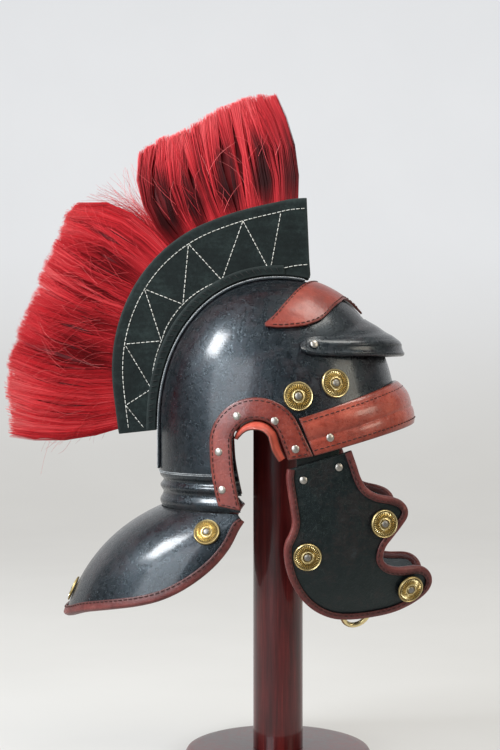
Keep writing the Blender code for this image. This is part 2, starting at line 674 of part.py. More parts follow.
def cheek_point(x, z, side, out=0.0):
    """The cheek guard's outer face: upright by the ear, curling in towards the chin."""
    forward = np.maximum(x - 20.0, 0.0)
    below = np.maximum(250.0 - z, 0.0)
    y = 90 - 0.03 * (320 - z) - forward ** 2 / 460 - below ** 2 / 360
    normal = unit(np.stack([forward / 230, side + 0 * y, -0.03 - below / 180 + 0 * y], axis=-1))
    return np.stack([x, side * y, z], axis=-1) + normal * out, normal


def inset(outline, distance):
    """Move an outline that runs counter-clockwise inwards, except for its two ends' heights."""
    along = unit(np.gradient(outline, axis=0))
    inside = np.stack([-along[:, 1], along[:, 0]], axis=1)
    return outline + inside * distance


def cheek_mesh(outline):
    """Triangles that fill the outline, over a grid of points well inside it; x and z of each."""
    x, z = np.meshgrid(np.arange(16, 150, CHEEK_GRID), np.arange(166, 310, CHEEK_GRID))
    inner = np.stack([x.ravel(), z.ravel()], axis=1)
    start = outline[None]
    step = np.roll(outline, -1, axis=0)[None] - start
    reach = inner[:, None] - start
    share = np.clip((reach * step).sum(axis=2) / (step ** 2).sum(axis=2), 0, 1)[..., None]
    distance = np.linalg.norm(reach - step * share, axis=2).min(axis=1)
    spans = (reach[..., 1] >= 0) != (reach[..., 1] >= step[..., 1])
    left_of = reach[..., 0] * step[..., 1] < reach[..., 1] * step[..., 0]
    crossings = (spans & (left_of == (step[..., 1] > 0))).sum(axis=1)
    inner = inner[(crossings % 2 == 1) & (distance > 0.5 * CHEEK_GRID)]
    flat = [Vector(point) for point in np.vstack([outline, inner])]
    points, _, faces = delaunay_2d_cdt(flat, [], [range(len(outline))], 1, 0.0001)[:3]
    return np.array([tuple(point) for point in points]), faces


def build_cheeks():
    """Both cheek guards with their bound edges, hinge straps, tabs and rings."""
    outline = inset(smooth_path(CHEEK_EDGE, 36), 0.8 + BINDING_LEATHER)
    top = np.linspace(outline[-1], outline[0], 5)[1:-1]
    flat, faces = cheek_mesh(np.vstack([outline, top]))
    tip = np.array([CHEEK_MIDDLE[0], 0.0, CHEEK_MIDDLE[1]])
    for word, side in SIDES.items():
        points = cheek_point(flat[:, 0], flat[:, 1], side)[0]
        wall_from(f"cheek_guard_{word}", points, faces, -CHEEK_LEATHER, BLACK_LEATHER, (0, side, 0))
        edge, normal = cheek_point(outline[:, 0], outline[:, 1], side)
        reach = np.full(len(edge), 5.2)
        inward = unit(np.cross(normal, np.gradient(edge, axis=0)))
        inward *= np.sign((inward * (tip - edge)).sum(axis=1).mean())
        edge_binding(f"cheek_binding_{word}", edge, inward, normal, CHEEK_LEATHER, reach, 0.8, RED_LEATHER)
        build_hinge_strap(word, side)
        build_ring(word, side)


def build_hinge_strap(word, side):
    """The strap that hangs the cheek guard from the inside of the skull's edge."""
    x = np.linspace(16, 56, 5)
    rows = []
    for share in (0.0, 0.3, 0.6, 1.0):
        top = brow_bottom(x) + 13
        low = 288 + (x - 16) * 0.27
        height = top + (low - top) * share
        wall = np.abs(skull_from_side(x, brow_bottom(x), side)[:, 1]) - LEATHER - FIT
        cheek = np.abs(cheek_point(x, height, side)[0][:, 1]) - CHEEK_LEATHER - FIT
        y = wall + (np.minimum(cheek, wall) - wall) * min(1.0, share / 0.6)
        rows.append(np.stack([x, side * y, height], axis=-1))
    shell(f"hinge_strap_{word}", np.array(rows), -THIN_LEATHER, BLACK_LEATHER, (0, side, 0))


def build_ring(word, side):
    """A D-shaped brass ring below the chin edge and the leather loop that holds its straight bar."""
    wire = 2.5
    leather = 1.6
    half = 13.0
    drop = 14.5
    room = 0.4
    outer = wire + room + leather
    behind = -CHEEK_LEATHER - 2.6 - outer
    middle, normal = cheek_point(np.array(RING_PLACE[0]), np.array(RING_PLACE[1]), side, behind)
    across = unit(np.cross(normal, (0, 0, 1)) * side * -1)
    down = unit(np.cross(normal, across))
    down *= -np.sign(down[2])
    tilt = math.radians(RING_TILT)
    across, down = (across * math.cos(tilt) - down * math.sin(tilt),
                    down * math.cos(tilt) + across * math.sin(tilt))
    turn = np.linspace(0, math.pi, 10)
    bend = [middle + across * half * math.cos(a) + down * (2.5 + drop * math.sin(a)) for a in turn]
    wire_loop(f"dee_ring_{word}", bend + [middle - across * half, middle + across * half], wire, BRASS)
    fold = np.linspace(0, math.pi, 6)
    inside = wire + room
    section = [(outer, -14.0)]
    section += [(outer * math.cos(a), outer * math.sin(a)) for a in fold]
    section += [(-outer, -14.0), (-inside, -14.0)]
    section += [(-inside * math.cos(a), inside * math.sin(a)) for a in fold]
    section += [(inside, -14.0)]
    sections = [[middle + across * end + normal * n + down * d for n, d in section] for end in (-7.0, 7.0)]
    loft(f"dee_tab_{word}", np.array(sections), BLACK_LEATHER)


# ------------------------------------------------------------------ rosettes and rivets
ROSETTE_PROFILE = (         # radius and height as shares of the rosette's radius, down the outer side
    (0.0, 0.27), (0.24, 0.22), (0.30, 0.14), (0.90, 0.15), (1.00, 0.0), (0.0, 0.0))
RIVET_PROFILE = ((0.0, 1.5), (2.8, 1.0), (RIVET_RADIUS, 0.0), (0.0, 0.0))
DOME_ROSETTES = (("front", 52.0, 383.0), ("rear", 17.0, 371.0))       # name, x, z
EAR_RIVETS = ((-53.0, 283.5), (-56.0, 319.0), (-39.5, 352.5), (-5.0, 348.0), (14.0, 322.0))
BROW_RIVET = (45.0, 332.5)
PEAK_RIVET = (73.6, 418.5)              # angle from the front, z
CHEEK_ROSETTES = (          # name, x, z, lift
    ("ear", 26.0, 220.0, 0.5), ("brow", 98.0, 250.5, 2.8), ("chin", 125.0, 186.0, 2.8))
CHEEK_RIVETS = ((22.0, 292.5), (55.5, 304.5))


def stud_place(point, normal):
    """Stand a stud on a surface point, its axis along the normal."""
    turn = Vector(normal).to_track_quat("Z", "Y").to_matrix().to_4x4()
    return Matrix.Translation(Vector(point) * MM) @ turn


def rosette(name, point, normal, radius):
    """A brass rosette with a dished face and a rivet through its middle."""
    profile = [(share * radius, height * radius) for share, height in ROSETTE_PROFILE]
    turned(name, profile, 12, BRASS, stud_place(point, normal))


def rivet(name, point, normal):
    """A low domed rivet head."""
    turned(name, RIVET_PROFILE, 8, NICKEL, stud_place(point, normal))


def build_studs():
    """Every rosette and rivet of the two sides, placed on the surface that carries it."""
    for word, side in SIDES.items():
        for label, x, z in DOME_ROSETTES:
            point = skull_from_side(np.array(x), np.array(z), side, 0.5)
            rosette(f"dome_rosette_{label}_{word}", point, skull_normal(*point), ROSETTE_RADIUS)
        for label, x, z, lift in CHEEK_ROSETTES:
            point, normal = cheek_point(np.array(x), np.array(z), side, lift)
            rosette(f"cheek_rosette_{label}_{word}", point, normal, ROSETTE_RADIUS - 0.5)
        for number, (x, z) in enumerate(EAR_RIVETS, 1):
            point = skull_from_side(np.array(x), np.array(z), side, FIT + LEATHER + 0.5)
            rivet(f"ear_rivet_{number}_{word}", point, skull_normal(*point))
        for number, (x, z) in enumerate(CHEEK_RIVETS, 1):
            point, normal = cheek_point(np.array(x), np.array(z), side, 0.5)
            rivet(f"cheek_rivet_{number}_{word}", point, normal)
        x, z = BROW_RIVET
        angle = side * math.acos((x / HALF_LENGTH) ** (SKULL_POWER / 2))
        share = (z - brow_bottom(x)) / (brow_top(x) - brow_bottom(x))
        point = skull_at_angle(angle, z, skirt_offset(x, share) + BROW_FIT + LEATHER + 0.6)
        rivet(f"brow_rivet_{word}", point, skull_normal(*point))
        angle, z = PEAK_RIVET
        point = skull_at_angle(side * math.radians(angle), z, 4.6)
        rivet(f"peak_rivet_{word}", point, skull_normal(*point))


# ------------------------------------------------------------------ assembly
clear_scene()
PARTS = new_collection("centurion_helmet")
CUTTERS = new_collection("cutters")
build_stand()
build_skull()
build_neck_guard()
build_crown_strip()
build_crest()
build_brow_plate()
build_peak()
build_brow_band()
build_ears()
build_cheeks()
build_studs()
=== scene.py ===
"""Looks of the leather centurion helmet on its turned wooden stand.

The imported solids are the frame, and every piece here is a finer surface in the same place. The
helmet faces +X, +Z is up and y = 0 is its plane of symmetry. Tables and sizes are in
millimetres, and MM turns them into Blender's metres.
"""

import math

import bpy
import numpy as np
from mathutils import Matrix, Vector
from mathutils.geometry import delaunay_2d_cdt


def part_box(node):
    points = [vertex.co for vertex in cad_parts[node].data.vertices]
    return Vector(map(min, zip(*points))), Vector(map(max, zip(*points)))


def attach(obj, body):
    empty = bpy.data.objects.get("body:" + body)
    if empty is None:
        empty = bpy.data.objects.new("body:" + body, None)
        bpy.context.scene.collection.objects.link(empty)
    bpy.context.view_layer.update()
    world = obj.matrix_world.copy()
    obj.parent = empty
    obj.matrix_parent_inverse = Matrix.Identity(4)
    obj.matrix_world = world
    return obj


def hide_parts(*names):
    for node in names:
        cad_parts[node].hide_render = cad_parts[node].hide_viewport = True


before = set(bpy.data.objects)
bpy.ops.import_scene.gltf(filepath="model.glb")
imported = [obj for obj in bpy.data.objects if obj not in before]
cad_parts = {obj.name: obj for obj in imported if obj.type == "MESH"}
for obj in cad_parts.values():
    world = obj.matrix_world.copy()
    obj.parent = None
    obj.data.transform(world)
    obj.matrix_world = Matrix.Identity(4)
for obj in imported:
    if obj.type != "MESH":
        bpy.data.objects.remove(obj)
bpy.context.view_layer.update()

MM = 0.001
SIDES = {"right": -1.0, "left": 1.0}

# ---------------- driving dimensions, mm
HALF_LENGTH = 118.0         # of the skull, outside
HALF_WIDTH = 95.0
SKULL_HEIGHT = 147.0        # from the widest level up to the crown
SKULL_LEVEL = 340.0         # height of the widest level over the table
SKULL_POWER = 2.15          # 2 is an ellipse, more is squarer
LEATHER = 3.0               # skull, neck guard and brow band
THIN_LEATHER = 2.0          # plates, straps and trim
BINDING_LEATHER = 1.5       # the strips folded round the edges
FIT = 0.6                   # gap under anything that lies on the skull
PLATE_FIT = 1.2
BROW_FIT = 1.0
NAPE_RIM = 262.0
NAPE_TOP = 296.0
BROW_FLARE = 17.0
EAR_CENTRE = (-22.0, 327.0)
EAR_INNER = 22.5
EAR_OUTER = 42.5
EAR_HOLE = 24.5
CREST_CENTRE = (0.0, 398.0)
CREST_HALF = 15.0           # half of the crest's width over its leather sides
CREST_LEATHER = 2.5
CREST_FRONT = 32.0
STRIP_HALF_WIDTH = 19.0
CHEEK_LEATHER = 2.8


# ---------------- curves
def unit(vectors):
    """Scale vectors to length 1."""
    vectors = np.asarray(vectors, dtype=float)
    return vectors / np.linalg.norm(vectors, axis=-1, keepdims=True)


def smoothstep(value, low, high):
    """0 below low, 1 above high and a smooth rise between: 3t squared less 2t cubed."""
    share = np.clip((value - low) / (high - low), 0, 1)
    return share * share * (3 - 2 * share)


def run_of(path):
    """Length along a path of points up to each of them."""
    steps = np.linalg.norm(np.diff(path, axis=0), axis=1)
    return np.concatenate([[0], np.cumsum(steps)])


def smooth_path(points, count):
    """A Catmull-Rom curve through the points, resampled at equal steps of its length."""
    points = np.asarray(points, dtype=float)
    ends = np.vstack([2 * points[0] - points[1], points, 2 * points[-1] - points[-2]])
    share = np.linspace(0, 1, 12, endpoint=False)[:, None]
    before, start, end, after = (ends[shift:len(ends) - 3 + shift, None] for shift in range(4))
    pieces = 0.5 * (2 * start + (end - before) * share
                    + (2 * before - 5 * start + 4 * end - after) * share ** 2
                    + (3 * start - before - 3 * end + after) * share ** 3)
    fine = np.vstack([pieces.reshape(-1, points.shape[1]), points[-1:]])
    return at_lengths(fine, np.linspace(0, run_of(fine)[-1], count))


def at_lengths(path, lengths):
    """Points of a path at given lengths along it, straight between its own points."""
    run = run_of(path)
    return np.stack([np.interp(lengths, run, column) for column in path.T], axis=-1)


def soft_table(table, columns, at):
    """Columns of a table read at `at` of its first column, off a smooth curve through its rows."""
    fine = smooth_path(table, 30 * len(table))
    return [np.interp(at, fine[:, 0], fine[:, column]) for column in columns]


def arc(centre, radius, low, high, count):
    """Points of an arc from one angle to another, in degrees."""
    turn = np.radians(np.linspace(low, high, count))
    return np.stack([centre[0] + radius * np.cos(turn), centre[1] + radius * np.sin(turn)], axis=1)


def facing(vectors, hint):
    """The vectors, each turned over where it points away from the hint."""
    return vectors * np.sign((vectors * hint).sum(axis=-1, keepdims=True))


def grid_normals(rows, hint):
    """Normals of a grid by differences, on the side of the hint."""
    return facing(unit(np.cross(np.gradient(rows, axis=0), np.gradient(rows, axis=1))), hint)


def signed_power(value, power):
    """Raise the size of a value to a power and keep its sign."""
    return np.sign(value) * np.abs(value) ** power


# ---------------- the skull's surface
def skull_normal(x, y, z):
    """Outward normal of the superellipsoid: its gradient, each axis to the power less 1."""
    rise = np.maximum(z - SKULL_LEVEL, 0.0)
    power = SKULL_POWER - 1
    return unit(np.stack([signed_power(x / HALF_LENGTH, power) / HALF_LENGTH,
                          signed_power(y / HALF_WIDTH, power) / HALF_WIDTH,
                          (rise / SKULL_HEIGHT) ** power / SKULL_HEIGHT], axis=-1))


def off_skull(x, y, z, out):
    """Points x, y, z of the skull moved out along its normals."""
    x, y, z = np.broadcast_arrays(x, y, z)
    return np.stack([x, y, z], axis=-1) + skull_normal(x, y, z) * np.asarray(out)[..., None]


def brow_top(x):
    """Height of the brow band's upper edge over the skull's x."""
    return 345.5 + 0.27 * x + 0.0004 * x * x


def brow_bottom(x):
    """Height of the brow band's lower edge over the skull's x."""
    return 307.5 + 0.24 * x + 0.0006 * x * x


NAPE_PROFILE = (            # share of the skirt's height, how far the wall is pressed in
    (0.00, 2.6), (0.18, 0.5), (0.41, 3.8), (0.60, 0.6), (0.76, 4.0), (0.88, 0.8), (1.00, 0.0))


def skirt_offset(x, share):
    """How far the skirt stands out of the plain wall: a swelling brow less two nape rolls."""
    swell = np.clip(1 - share, 0, 1) ** 0.6 - 0.22 * np.clip(1 - share, 0, 1) ** 6
    flare = BROW_FLARE * np.clip((x - 25.0) / (HALF_LENGTH - 25.0), 0, 1) ** 1.2
    pressed, = soft_table(NAPE_PROFILE, (1,), share)
    return flare * swell - pressed * np.clip((-x - 30.0) / 15.0, 0, 1)


def skull_at_angle(angle, z, out=0.0):
    """Points of the skull at plan angles from the front, at heights z, moved out by out."""
    rise = np.clip((z - SKULL_LEVEL) / SKULL_HEIGHT, 0, 1)
    size = (1 - rise ** SKULL_POWER) ** (1 / SKULL_POWER)
    x = HALF_LENGTH * size * signed_power(np.cos(angle), 2 / SKULL_POWER)
    y = HALF_WIDTH * size * signed_power(np.sin(angle), 2 / SKULL_POWER)
    return off_skull(x, y, z, out)


def skull_over_plan(x, y, out=0.0):
    """Points of the dome over plan places x, y."""
    left = 1 - np.abs(x / HALF_LENGTH) ** SKULL_POWER - np.abs(y / HALF_WIDTH) ** SKULL_POWER
    return off_skull(x, y, SKULL_LEVEL + SKULL_HEIGHT * np.maximum(left, 0) ** (1 / SKULL_POWER), out)


def skull_from_side(x, z, side, out=0.0):
    """Points of the skull's side wall seen at x, z; side is -1 for the right, 1 for the left."""
    rise = np.clip((z - SKULL_LEVEL) / SKULL_HEIGHT, 0, 1)
    left = 1 - rise ** SKULL_POWER - np.abs(x / HALF_LENGTH) ** SKULL_POWER
    return off_skull(x, side * HALF_WIDTH * np.maximum(left, 0) ** (1 / SKULL_POWER), z, out)


def crown_line(turn, y=0.0, out=0.0):
    """Points of the crown's middle line at superelliptic angles from the front, at width y."""
    shrink = (1 - np.abs(y / HALF_WIDTH) ** SKULL_POWER) ** (1 / SKULL_POWER)
    x = HALF_LENGTH * signed_power(np.cos(turn), 2 / SKULL_POWER) * shrink
    z = SKULL_LEVEL + SKULL_HEIGHT * signed_power(np.sin(turn), 2 / SKULL_POWER) * shrink
    z = np.where(z < SKULL_LEVEL, SKULL_LEVEL + (z - SKULL_LEVEL) / shrink, z)
    return off_skull(x, y, z, out)


# ---------------- meshes
def mesh_of(name, points, face_sets, values=None, crease=40.0):
    """Make a smooth mesh from points in mm and arrays of faces with any number of corners.

    values holds one number a point under each attribute's name.
    """
    points = np.asarray(points, dtype=float).reshape(-1, 3)
    face_sets = [np.asarray(faces, dtype=np.int32) for faces in face_sets]
    corners = np.concatenate([faces.ravel() for faces in face_sets])
    sizes = np.concatenate([np.full(len(faces), faces.shape[1]) for faces in face_sets])
    mesh = bpy.data.meshes.new(name)
    mesh.vertices.add(len(points))
    mesh.vertices.foreach_set("co", (points * MM).ravel())
    mesh.loops.add(len(corners))
    mesh.loops.foreach_set("vertex_index", corners)
    mesh.polygons.add(len(sizes))
    mesh.polygons.foreach_set("loop_start", np.concatenate([[0], np.cumsum(sizes)[:-1]]).astype(np.int32))
    mesh.update(calc_edges=True)
    for label, numbers in (values or {}).items():
        layer = mesh.attributes.new(label, "FLOAT", "POINT")
        layer.data.foreach_set("value", np.asarray(numbers, dtype=np.float32).ravel())
    mesh.shade_smooth()
    mesh.set_sharp_from_angle(angle=math.radians(crease))
    return mesh


def grid_faces(rows, columns, closed=False):
    """Quads between the rows of a grid; closed joins the last column to the first."""
    row, column = np.meshgrid(np.arange(rows - 1), np.arange(columns - (not closed)), indexing="ij")
    after = (column + 1) % columns
    return np.stack([row * columns + column, row * columns + after,
                     (row + 1) * columns + after, (row + 1) * columns + column], axis=-1).reshape(-1, 4)


def fan(ring, tip, flip=False):
    """Triangles from a ring of points to a tip."""
    after = np.roll(ring, -1)
    tips = np.full(len(ring), tip)
    return np.stack([after, ring, tips] if flip else [ring, after, tips], axis=1)


def points_of(mesh):
    """A mesh's points, in metres."""
    points = np.empty(len(mesh.vertices) * 3)
    mesh.vertices.foreach_get("co", points)
    return points.reshape(-1, 3)


def new_object(name, data):
    """An object of the scene with this data."""
    thing = bpy.data.objects.new(name, data)
    bpy.context.scene.collection.objects.link(thing)
    return thing


def piece(name, mesh, finish, *nodes):
    """Stand a finished mesh in the scene for the named solids, on the one body, in its finish."""
    thing = new_object(name, mesh)
    mesh.materials.append(FINISHES[finish].material)
    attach(thing, "root")
    if nodes:
        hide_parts(*nodes)
    return thing


def closed_piece(name, points, faces, finish, *nodes, values=None, crease=40.0):
    """A piece of closed surfaces, turned over if the volume that they enclose comes out negative."""
    mesh = mesh_of(name, points, faces, values, crease)
    mesh.calc_loop_triangles()
    corners = np.empty(len(mesh.loop_triangles) * 3, dtype=np.int32)
    mesh.loop_triangles.foreach_get("vertices", corners)
    a, b, c = points_of(mesh)[corners.reshape(-1, 3)].transpose(1, 0, 2)
    if (a * np.cross(b, c)).sum() < 0:
        mesh.flip_normals()
    return piece(name, mesh, finish, *nodes)


def soften(thing, width, segments, angle_deg):
    """Round off edges that turn by more than the angle."""
    soft = thing.modifiers.new("edges", "BEVEL")
    soft.width = width * MM
    soft.segments = segments
    soft.limit_method = "ANGLE"
    soft.angle_limit = math.radians(angle_deg)


def edge_share(grid, closed, fade=2.2):
    """1 at a grid's borders, falling off as exp(-distance / fade) into it."""
    down = np.linalg.norm(np.diff(grid, axis=0), axis=2).cumsum(axis=0)
    down = np.concatenate([0 * down[:1], down])
    distance = np.minimum(down, down[-1:] - down)
    if not closed:
        over = np.linalg.norm(np.diff(grid, axis=1), axis=2).cumsum(axis=1)
        over = np.concatenate([0 * over[:, :1], over], axis=1)
        distance = np.minimum(distance, np.minimum(over, over[:, -1:] - over))
    return np.exp(-distance / fade)


def wall(thing, thickness, outward, rounding=0.6):
    """Give an open sheet its thickness, out if positive and in if negative, and soft edges."""
    mesh = thing.data
    lean = sum((face.normal * face.area for face in mesh.polygons), Vector())
    if lean.dot(Vector(outward)) < 0:
        mesh.flip_normals()
    solid = thing.modifiers.new("wall", "SOLIDIFY")
    solid.thickness = abs(thickness) * MM
    solid.offset = math.copysign(1.0, thickness)
    solid.use_even_offset = True
    if rounding:
        soften(thing, rounding, 2, 55)


def sheet(name, grid, thickness, outward, finish, *nodes, closed=False, tip=None, rounding=0.6, fade=2.2):
    """A leather sheet from rows of points; closed rings may end in a tip."""
    rows, columns, _ = grid.shape
    points = grid.reshape(-1, 3)
    edge = edge_share(grid, closed, fade).ravel()
    faces = [grid_faces(rows, columns, closed)]
    if tip is not None:
        faces.append(fan(np.arange(columns) + (rows - 1) * columns, rows * columns))
        points = np.vstack([points, tip])
        edge = np.append(edge, 0)
    thing = piece(name, mesh_of(name, points, faces, {"edge": edge}), finish, *nodes)
    wall(thing, thickness, outward, rounding)
    return thing


def loft(name, sections, finish, *nodes, values=None, crease=40.0, ring=False):
    """Skin a row of closed sections, capped at both ends or, as a ring, joined end to end."""
    rows, columns, _ = sections.shape
    if ring:
        faces = [grid_faces(rows + 1, columns, True) % (rows * columns)]
    else:
        first = np.arange(columns)[::-1][None]
        faces = [grid_faces(rows, columns, True), first, np.arange(columns)[None] + (rows - 1) * columns]
    return closed_piece(name, sections, faces, finish, *nodes, values=values, crease=crease)


def turned(name, profile, steps, finish, *nodes, rounding=0.0):
    """Turn a (radius, height) profile about Z: x = r cos, y = r sin; its ends are on the axis."""
    turn = np.linspace(0, 2 * math.pi, steps, endpoint=False)
    radius, height = np.array(profile[1:-1], dtype=float).T
    rings = np.stack([np.outer(radius, np.cos(turn)), np.outer(radius, np.sin(turn)),
                      np.repeat(height[:, None], steps, axis=1)], axis=-1)
    count = len(radius) * steps
    points = np.vstack([rings.reshape(-1, 3), (0, 0, profile[0][1]), (0, 0, profile[-1][1])])
    first = np.arange(steps)
    faces = [grid_faces(len(radius), steps, True), fan(first, count, True),
             fan(first + count - steps, count + 1)]
    thing = closed_piece(name, points, faces, finish, *nodes, crease=28)
    if rounding:
        soften(thing, rounding, 3, 24)


def rods(name, centres, radii, sides, finish, *nodes, values=None):
    """Many closed round rods in one mesh: centres (rod, point, 3), radii (rod, point).

    A point's ring is centre + radius (cos u + sin v), with u and v square to the rod.
    """
    count, length, _ = centres.shape
    along = unit(np.gradient(centres, axis=1))
    lean = np.abs(along.mean(axis=1))[:, 1] > 0.8
    aside = np.where(lean[:, None, None], (0.0, 0.0, 1.0), (0.0, 1.0, 0.0))
    u = unit(np.cross(along, aside))
    v = np.cross(along, u)
    turn = np.arange(sides) * 2 * math.pi / sides
    points = (centres[:, :, None] + radii[:, :, None, None]
              * (u[:, :, None] * np.cos(turn)[:, None] + v[:, :, None] * np.sin(turn)[:, None]))
    start = np.arange(count)[:, None, None] * length * sides
    faces = (grid_faces(length, sides, True)[None] + start).reshape(-1, 4)
    ends = np.arange(sides)[None] + start[:, :, 0]
    numbers = {label: np.repeat(number, sides) for label, number in (values or {}).items()}
    closed_piece(name, points, [faces, ends[:, ::-1], ends + (length - 1) * sides], finish, *nodes,
                 values=numbers, crease=80)


# ---------------- finishes
class Value:
    """A number that varies over a surface; arithmetic on it adds Math nodes."""

    def __init__(self, finish, socket):
        self.finish, self.socket = finish, socket

    def math(self, operation, *terms):
        return self.finish.node("ShaderNodeMath", {"operation": operation}, terms)

    def __add__(self, other):
        return self.math("ADD", self, other)

    def __sub__(self, other):
        return self.math("SUBTRACT", self, other)

    def __rsub__(self, other):
        return self.math("SUBTRACT", other, self)

    def __mul__(self, other):
        return self.math("MULTIPLY", self, other)

    __radd__ = __add__
    __rmul__ = __mul__

    def __abs__(self):
        return self.math("ABSOLUTE", self)

    def rise(self, low, high):
        """0 below low, 1 above high and smooth between."""
        return self.finish.node("ShaderNodeMapRange", {"interpolation_type": "SMOOTHSTEP"},
                                {"Value": self, "From Min": low, "From Max": high})

    def line(self, level, width):
        """1 where the value crosses a level, 0 further than width from it."""
        return 1 - abs(self - level).rise(0.0, width)


class Finish:
    """A node material on the Principled shader, with the name of the slot that it paints."""

    def __init__(self, name, slot, fixed):
        self.name, self.slot = name, slot
        self.material = bpy.data.materials.new(name)
        self.material.use_nodes = True
        self.tree = self.material.node_tree
        self.shader = self.tree.nodes["Principled BSDF"]
        for socket, number in fixed.items():
            self.shader.inputs[socket].default_value = number
        self.place = self.node("ShaderNodeTexCoord", output="Object")

    def node(self, kind, settings=None, inputs=(), output=0):
        """Add a node of a type: its settings first, then values or links for its sockets."""
        made = self.tree.nodes.new(kind)
        for key, setting in (settings or {}).items():
            if key == "stops":
                self.set_stops(made.color_ramp.elements, setting)
            else:
                setattr(made, key, setting)
        for key, value in inputs.items() if isinstance(inputs, dict) else enumerate(inputs):
            if isinstance(value, Value):
                self.tree.links.new(value.socket, made.inputs[key])
            else:
                made.inputs[key].default_value = value
        return Value(self, made.outputs[output])

    @staticmethod
    def set_stops(elements, stops):
        """Fill a ramp with (position, colour) stops."""
        while len(elements) < len(stops):
            elements.new(0.5)
        for element, (position, colour) in zip(elements, stops):
            element.position = position
            element.color = (*colour, 1.0)

    def noise(self, scale, detail=3.0, roughness=0.55, stretch=(1, 1, 1)):
        """Noise with `scale` features a metre, pulled out along an axis by a small stretch."""
        place = self.place
        if stretch != (1, 1, 1):
            place = self.node("ShaderNodeMapping", {}, {"Vector": place, "Scale": stretch})
        return self.node("ShaderNodeTexNoise", {}, {
            "Vector": place, "Scale": scale, "Detail": detail, "Roughness": roughness})

    def along(self, axis):
        """Distance along one of the object's own axes, in metres."""
        return self.node("ShaderNodeSeparateXYZ", {}, {"Vector": self.place}, output=axis)

    def cells(self, scale):
        """Distance inside a pattern of cells, `scale` of them a metre."""
        return self.node("ShaderNodeTexVoronoi", {}, {"Vector": self.place, "Scale": scale})

    def number(self, label):
        """One of the mesh's own numbers."""
        return self.node("ShaderNodeAttribute", {"attribute_name": label}, output="Fac")

    def ramp(self, value, *stops):
        """Colours along a value."""
        return self.node("ShaderNodeValToRGB", {"stops": stops}, {"Fac": value})

    def mix(self, share, first, second):
        """Blend two colours."""
        first, second = ((*c, 1.0) if isinstance(c, tuple) else c for c in (first, second))
        return self.node("ShaderNodeMix", {"data_type": "RGBA"}, {0: share, 6: first, 7: second}, output=2)

    def feed(self, socket, value):
        """Link a value into the shader."""
        self.tree.links.new(value.socket, self.shader.inputs[socket])

    def bump(self, height, strength, distance):
        """Roughen the surface by a height, `distance` metres for a height of 1."""
        self.feed("Normal", self.node("ShaderNodeBump", {}, {
            "Height": height, "Strength": strength, "Distance": distance}))


def hide(name, slot, shades, edge_shade, scuff_shade, gloss, coat, scuffs, edge_wear_and_light=0.8, relief=1.0,
         sheen=(1.0, 1.0, 1.0)):
    """Dyed leather: slow mottling, fine grain, pits, thin scratches, and edges coloured after the mesh's
    number `edge`: rubbed wear, which on black leather also stands for a painted highlight, and painted shade
    over the ear guards' inner faces.

    Scratches are the level lines of a stretched noise, broken up by a second noise.
    """
    low, high = gloss
    made = Finish(name, slot, {"Coat Weight": coat, "Coat Roughness": 0.17, "Specular IOR Level": 0.34,
                               "Specular Tint": (*sheen, 1.0)})
    slow = made.noise(30, 4, 0.6)
    middle = made.noise(150, 4, 0.62)
    fine = made.noise(440, 4, 0.65)
    creases = made.noise(95, 5, 0.65, (1.0, 1.0, 1.4)).line(0.5, 0.03)
    pits = 1 - made.cells(420).rise(0.04, 0.13)
    pits = pits * made.noise(50, 2).rise(0.52, 0.66)
    scratch = made.noise(24, 4, 0.5, (1.0, 1.0, 0.35)).line(0.5, 0.005)
    scratch = scratch * made.noise(64, 2).rise(0.50, 0.62)
    rubbed = made.noise(105, 5, 0.7).rise(0.50, 0.74)
    edge = made.number("edge")
    tint = slow * 0.55 + middle * 0.3 + fine * 0.15
    colour = made.ramp(tint, *shades)
    colour = made.mix(rubbed * (0.35 * scuffs), colour, scuff_shade)
    colour = made.mix(scratch * scuffs, colour, scuff_shade)
    # edge colour: rubbed wear, a painted highlight along black leather's edges, and painted shade on the ear
    # guards' inner faces
    colour = made.mix(edge * (0.6 + middle * 0.6) * edge_wear_and_light, colour, edge_shade)
    made.feed("Base Color", colour)
    made.feed("Roughness", middle * (high - low) + low + fine * 0.08 + rubbed * 0.12 + scratch * 0.15)
    height = middle * 0.30 + fine * 0.50 - creases * 0.07 - pits * 0.22 - scratch * 0.12
    made.bump(height, 1.0, 0.0011 * relief)
    return made


def metal(name, slot, bright, dark, rough):
    """Metal with painted shade in its hollows, after the mesh's number `hollow`, blotches of tarnish and fine
    wear.
    """
    made = Finish(name, slot, {"Metallic": 1.0})
    hollow = made.number("hollow")
    stain = made.noise(500, 4, 0.6)
    colour = made.mix(stain.rise(0.55, 0.80) * 0.18, bright, dark)
    # painted shade: the hollow number pulls the colour towards the dark shade in grooves
    colour = made.mix(hollow * 0.9, colour, dark)
    made.feed("Base Color", colour)
    made.feed("Roughness", stain * 0.2 + rough + hollow * 0.3)
    made.bump(made.noise(1500, 3, 0.6), 0.15, 0.0001)
    return made


def crest_hide():
    """Crest leather: split hide with a short nap, bottle green over black, scraped lighter."""
    made = Finish("crest_leather", "crest_leather", {"Specular IOR Level": 0.14})
    slow = made.noise(45, 5, 0.6)
    middle = made.noise(260, 5, 0.7)
    nap = made.noise(1700, 3, 0.7)
    streak = made.noise(170, 3, 0.6, (0.4, 1.0, 1.6))
    tint = slow * 0.35 + middle * 0.3 + streak * 0.2 + nap * 0.15
    colour = made.ramp(tint, (0.32, (0.0015, 0.0028, 0.0028)), (0.5, (0.0055, 0.0095, 0.0090)),
                       (0.68, (0.020, 0.031, 0.029)))
    colour = made.mix(made.number("edge") * 0.5, colour, (0.032, 0.040, 0.038))
    made.feed("Base Color", colour)
    made.feed("Roughness", middle * 0.3 + 0.42)
    made.bump(middle * 0.8 + nap * 0.6, 0.6, 0.0005)
    return made


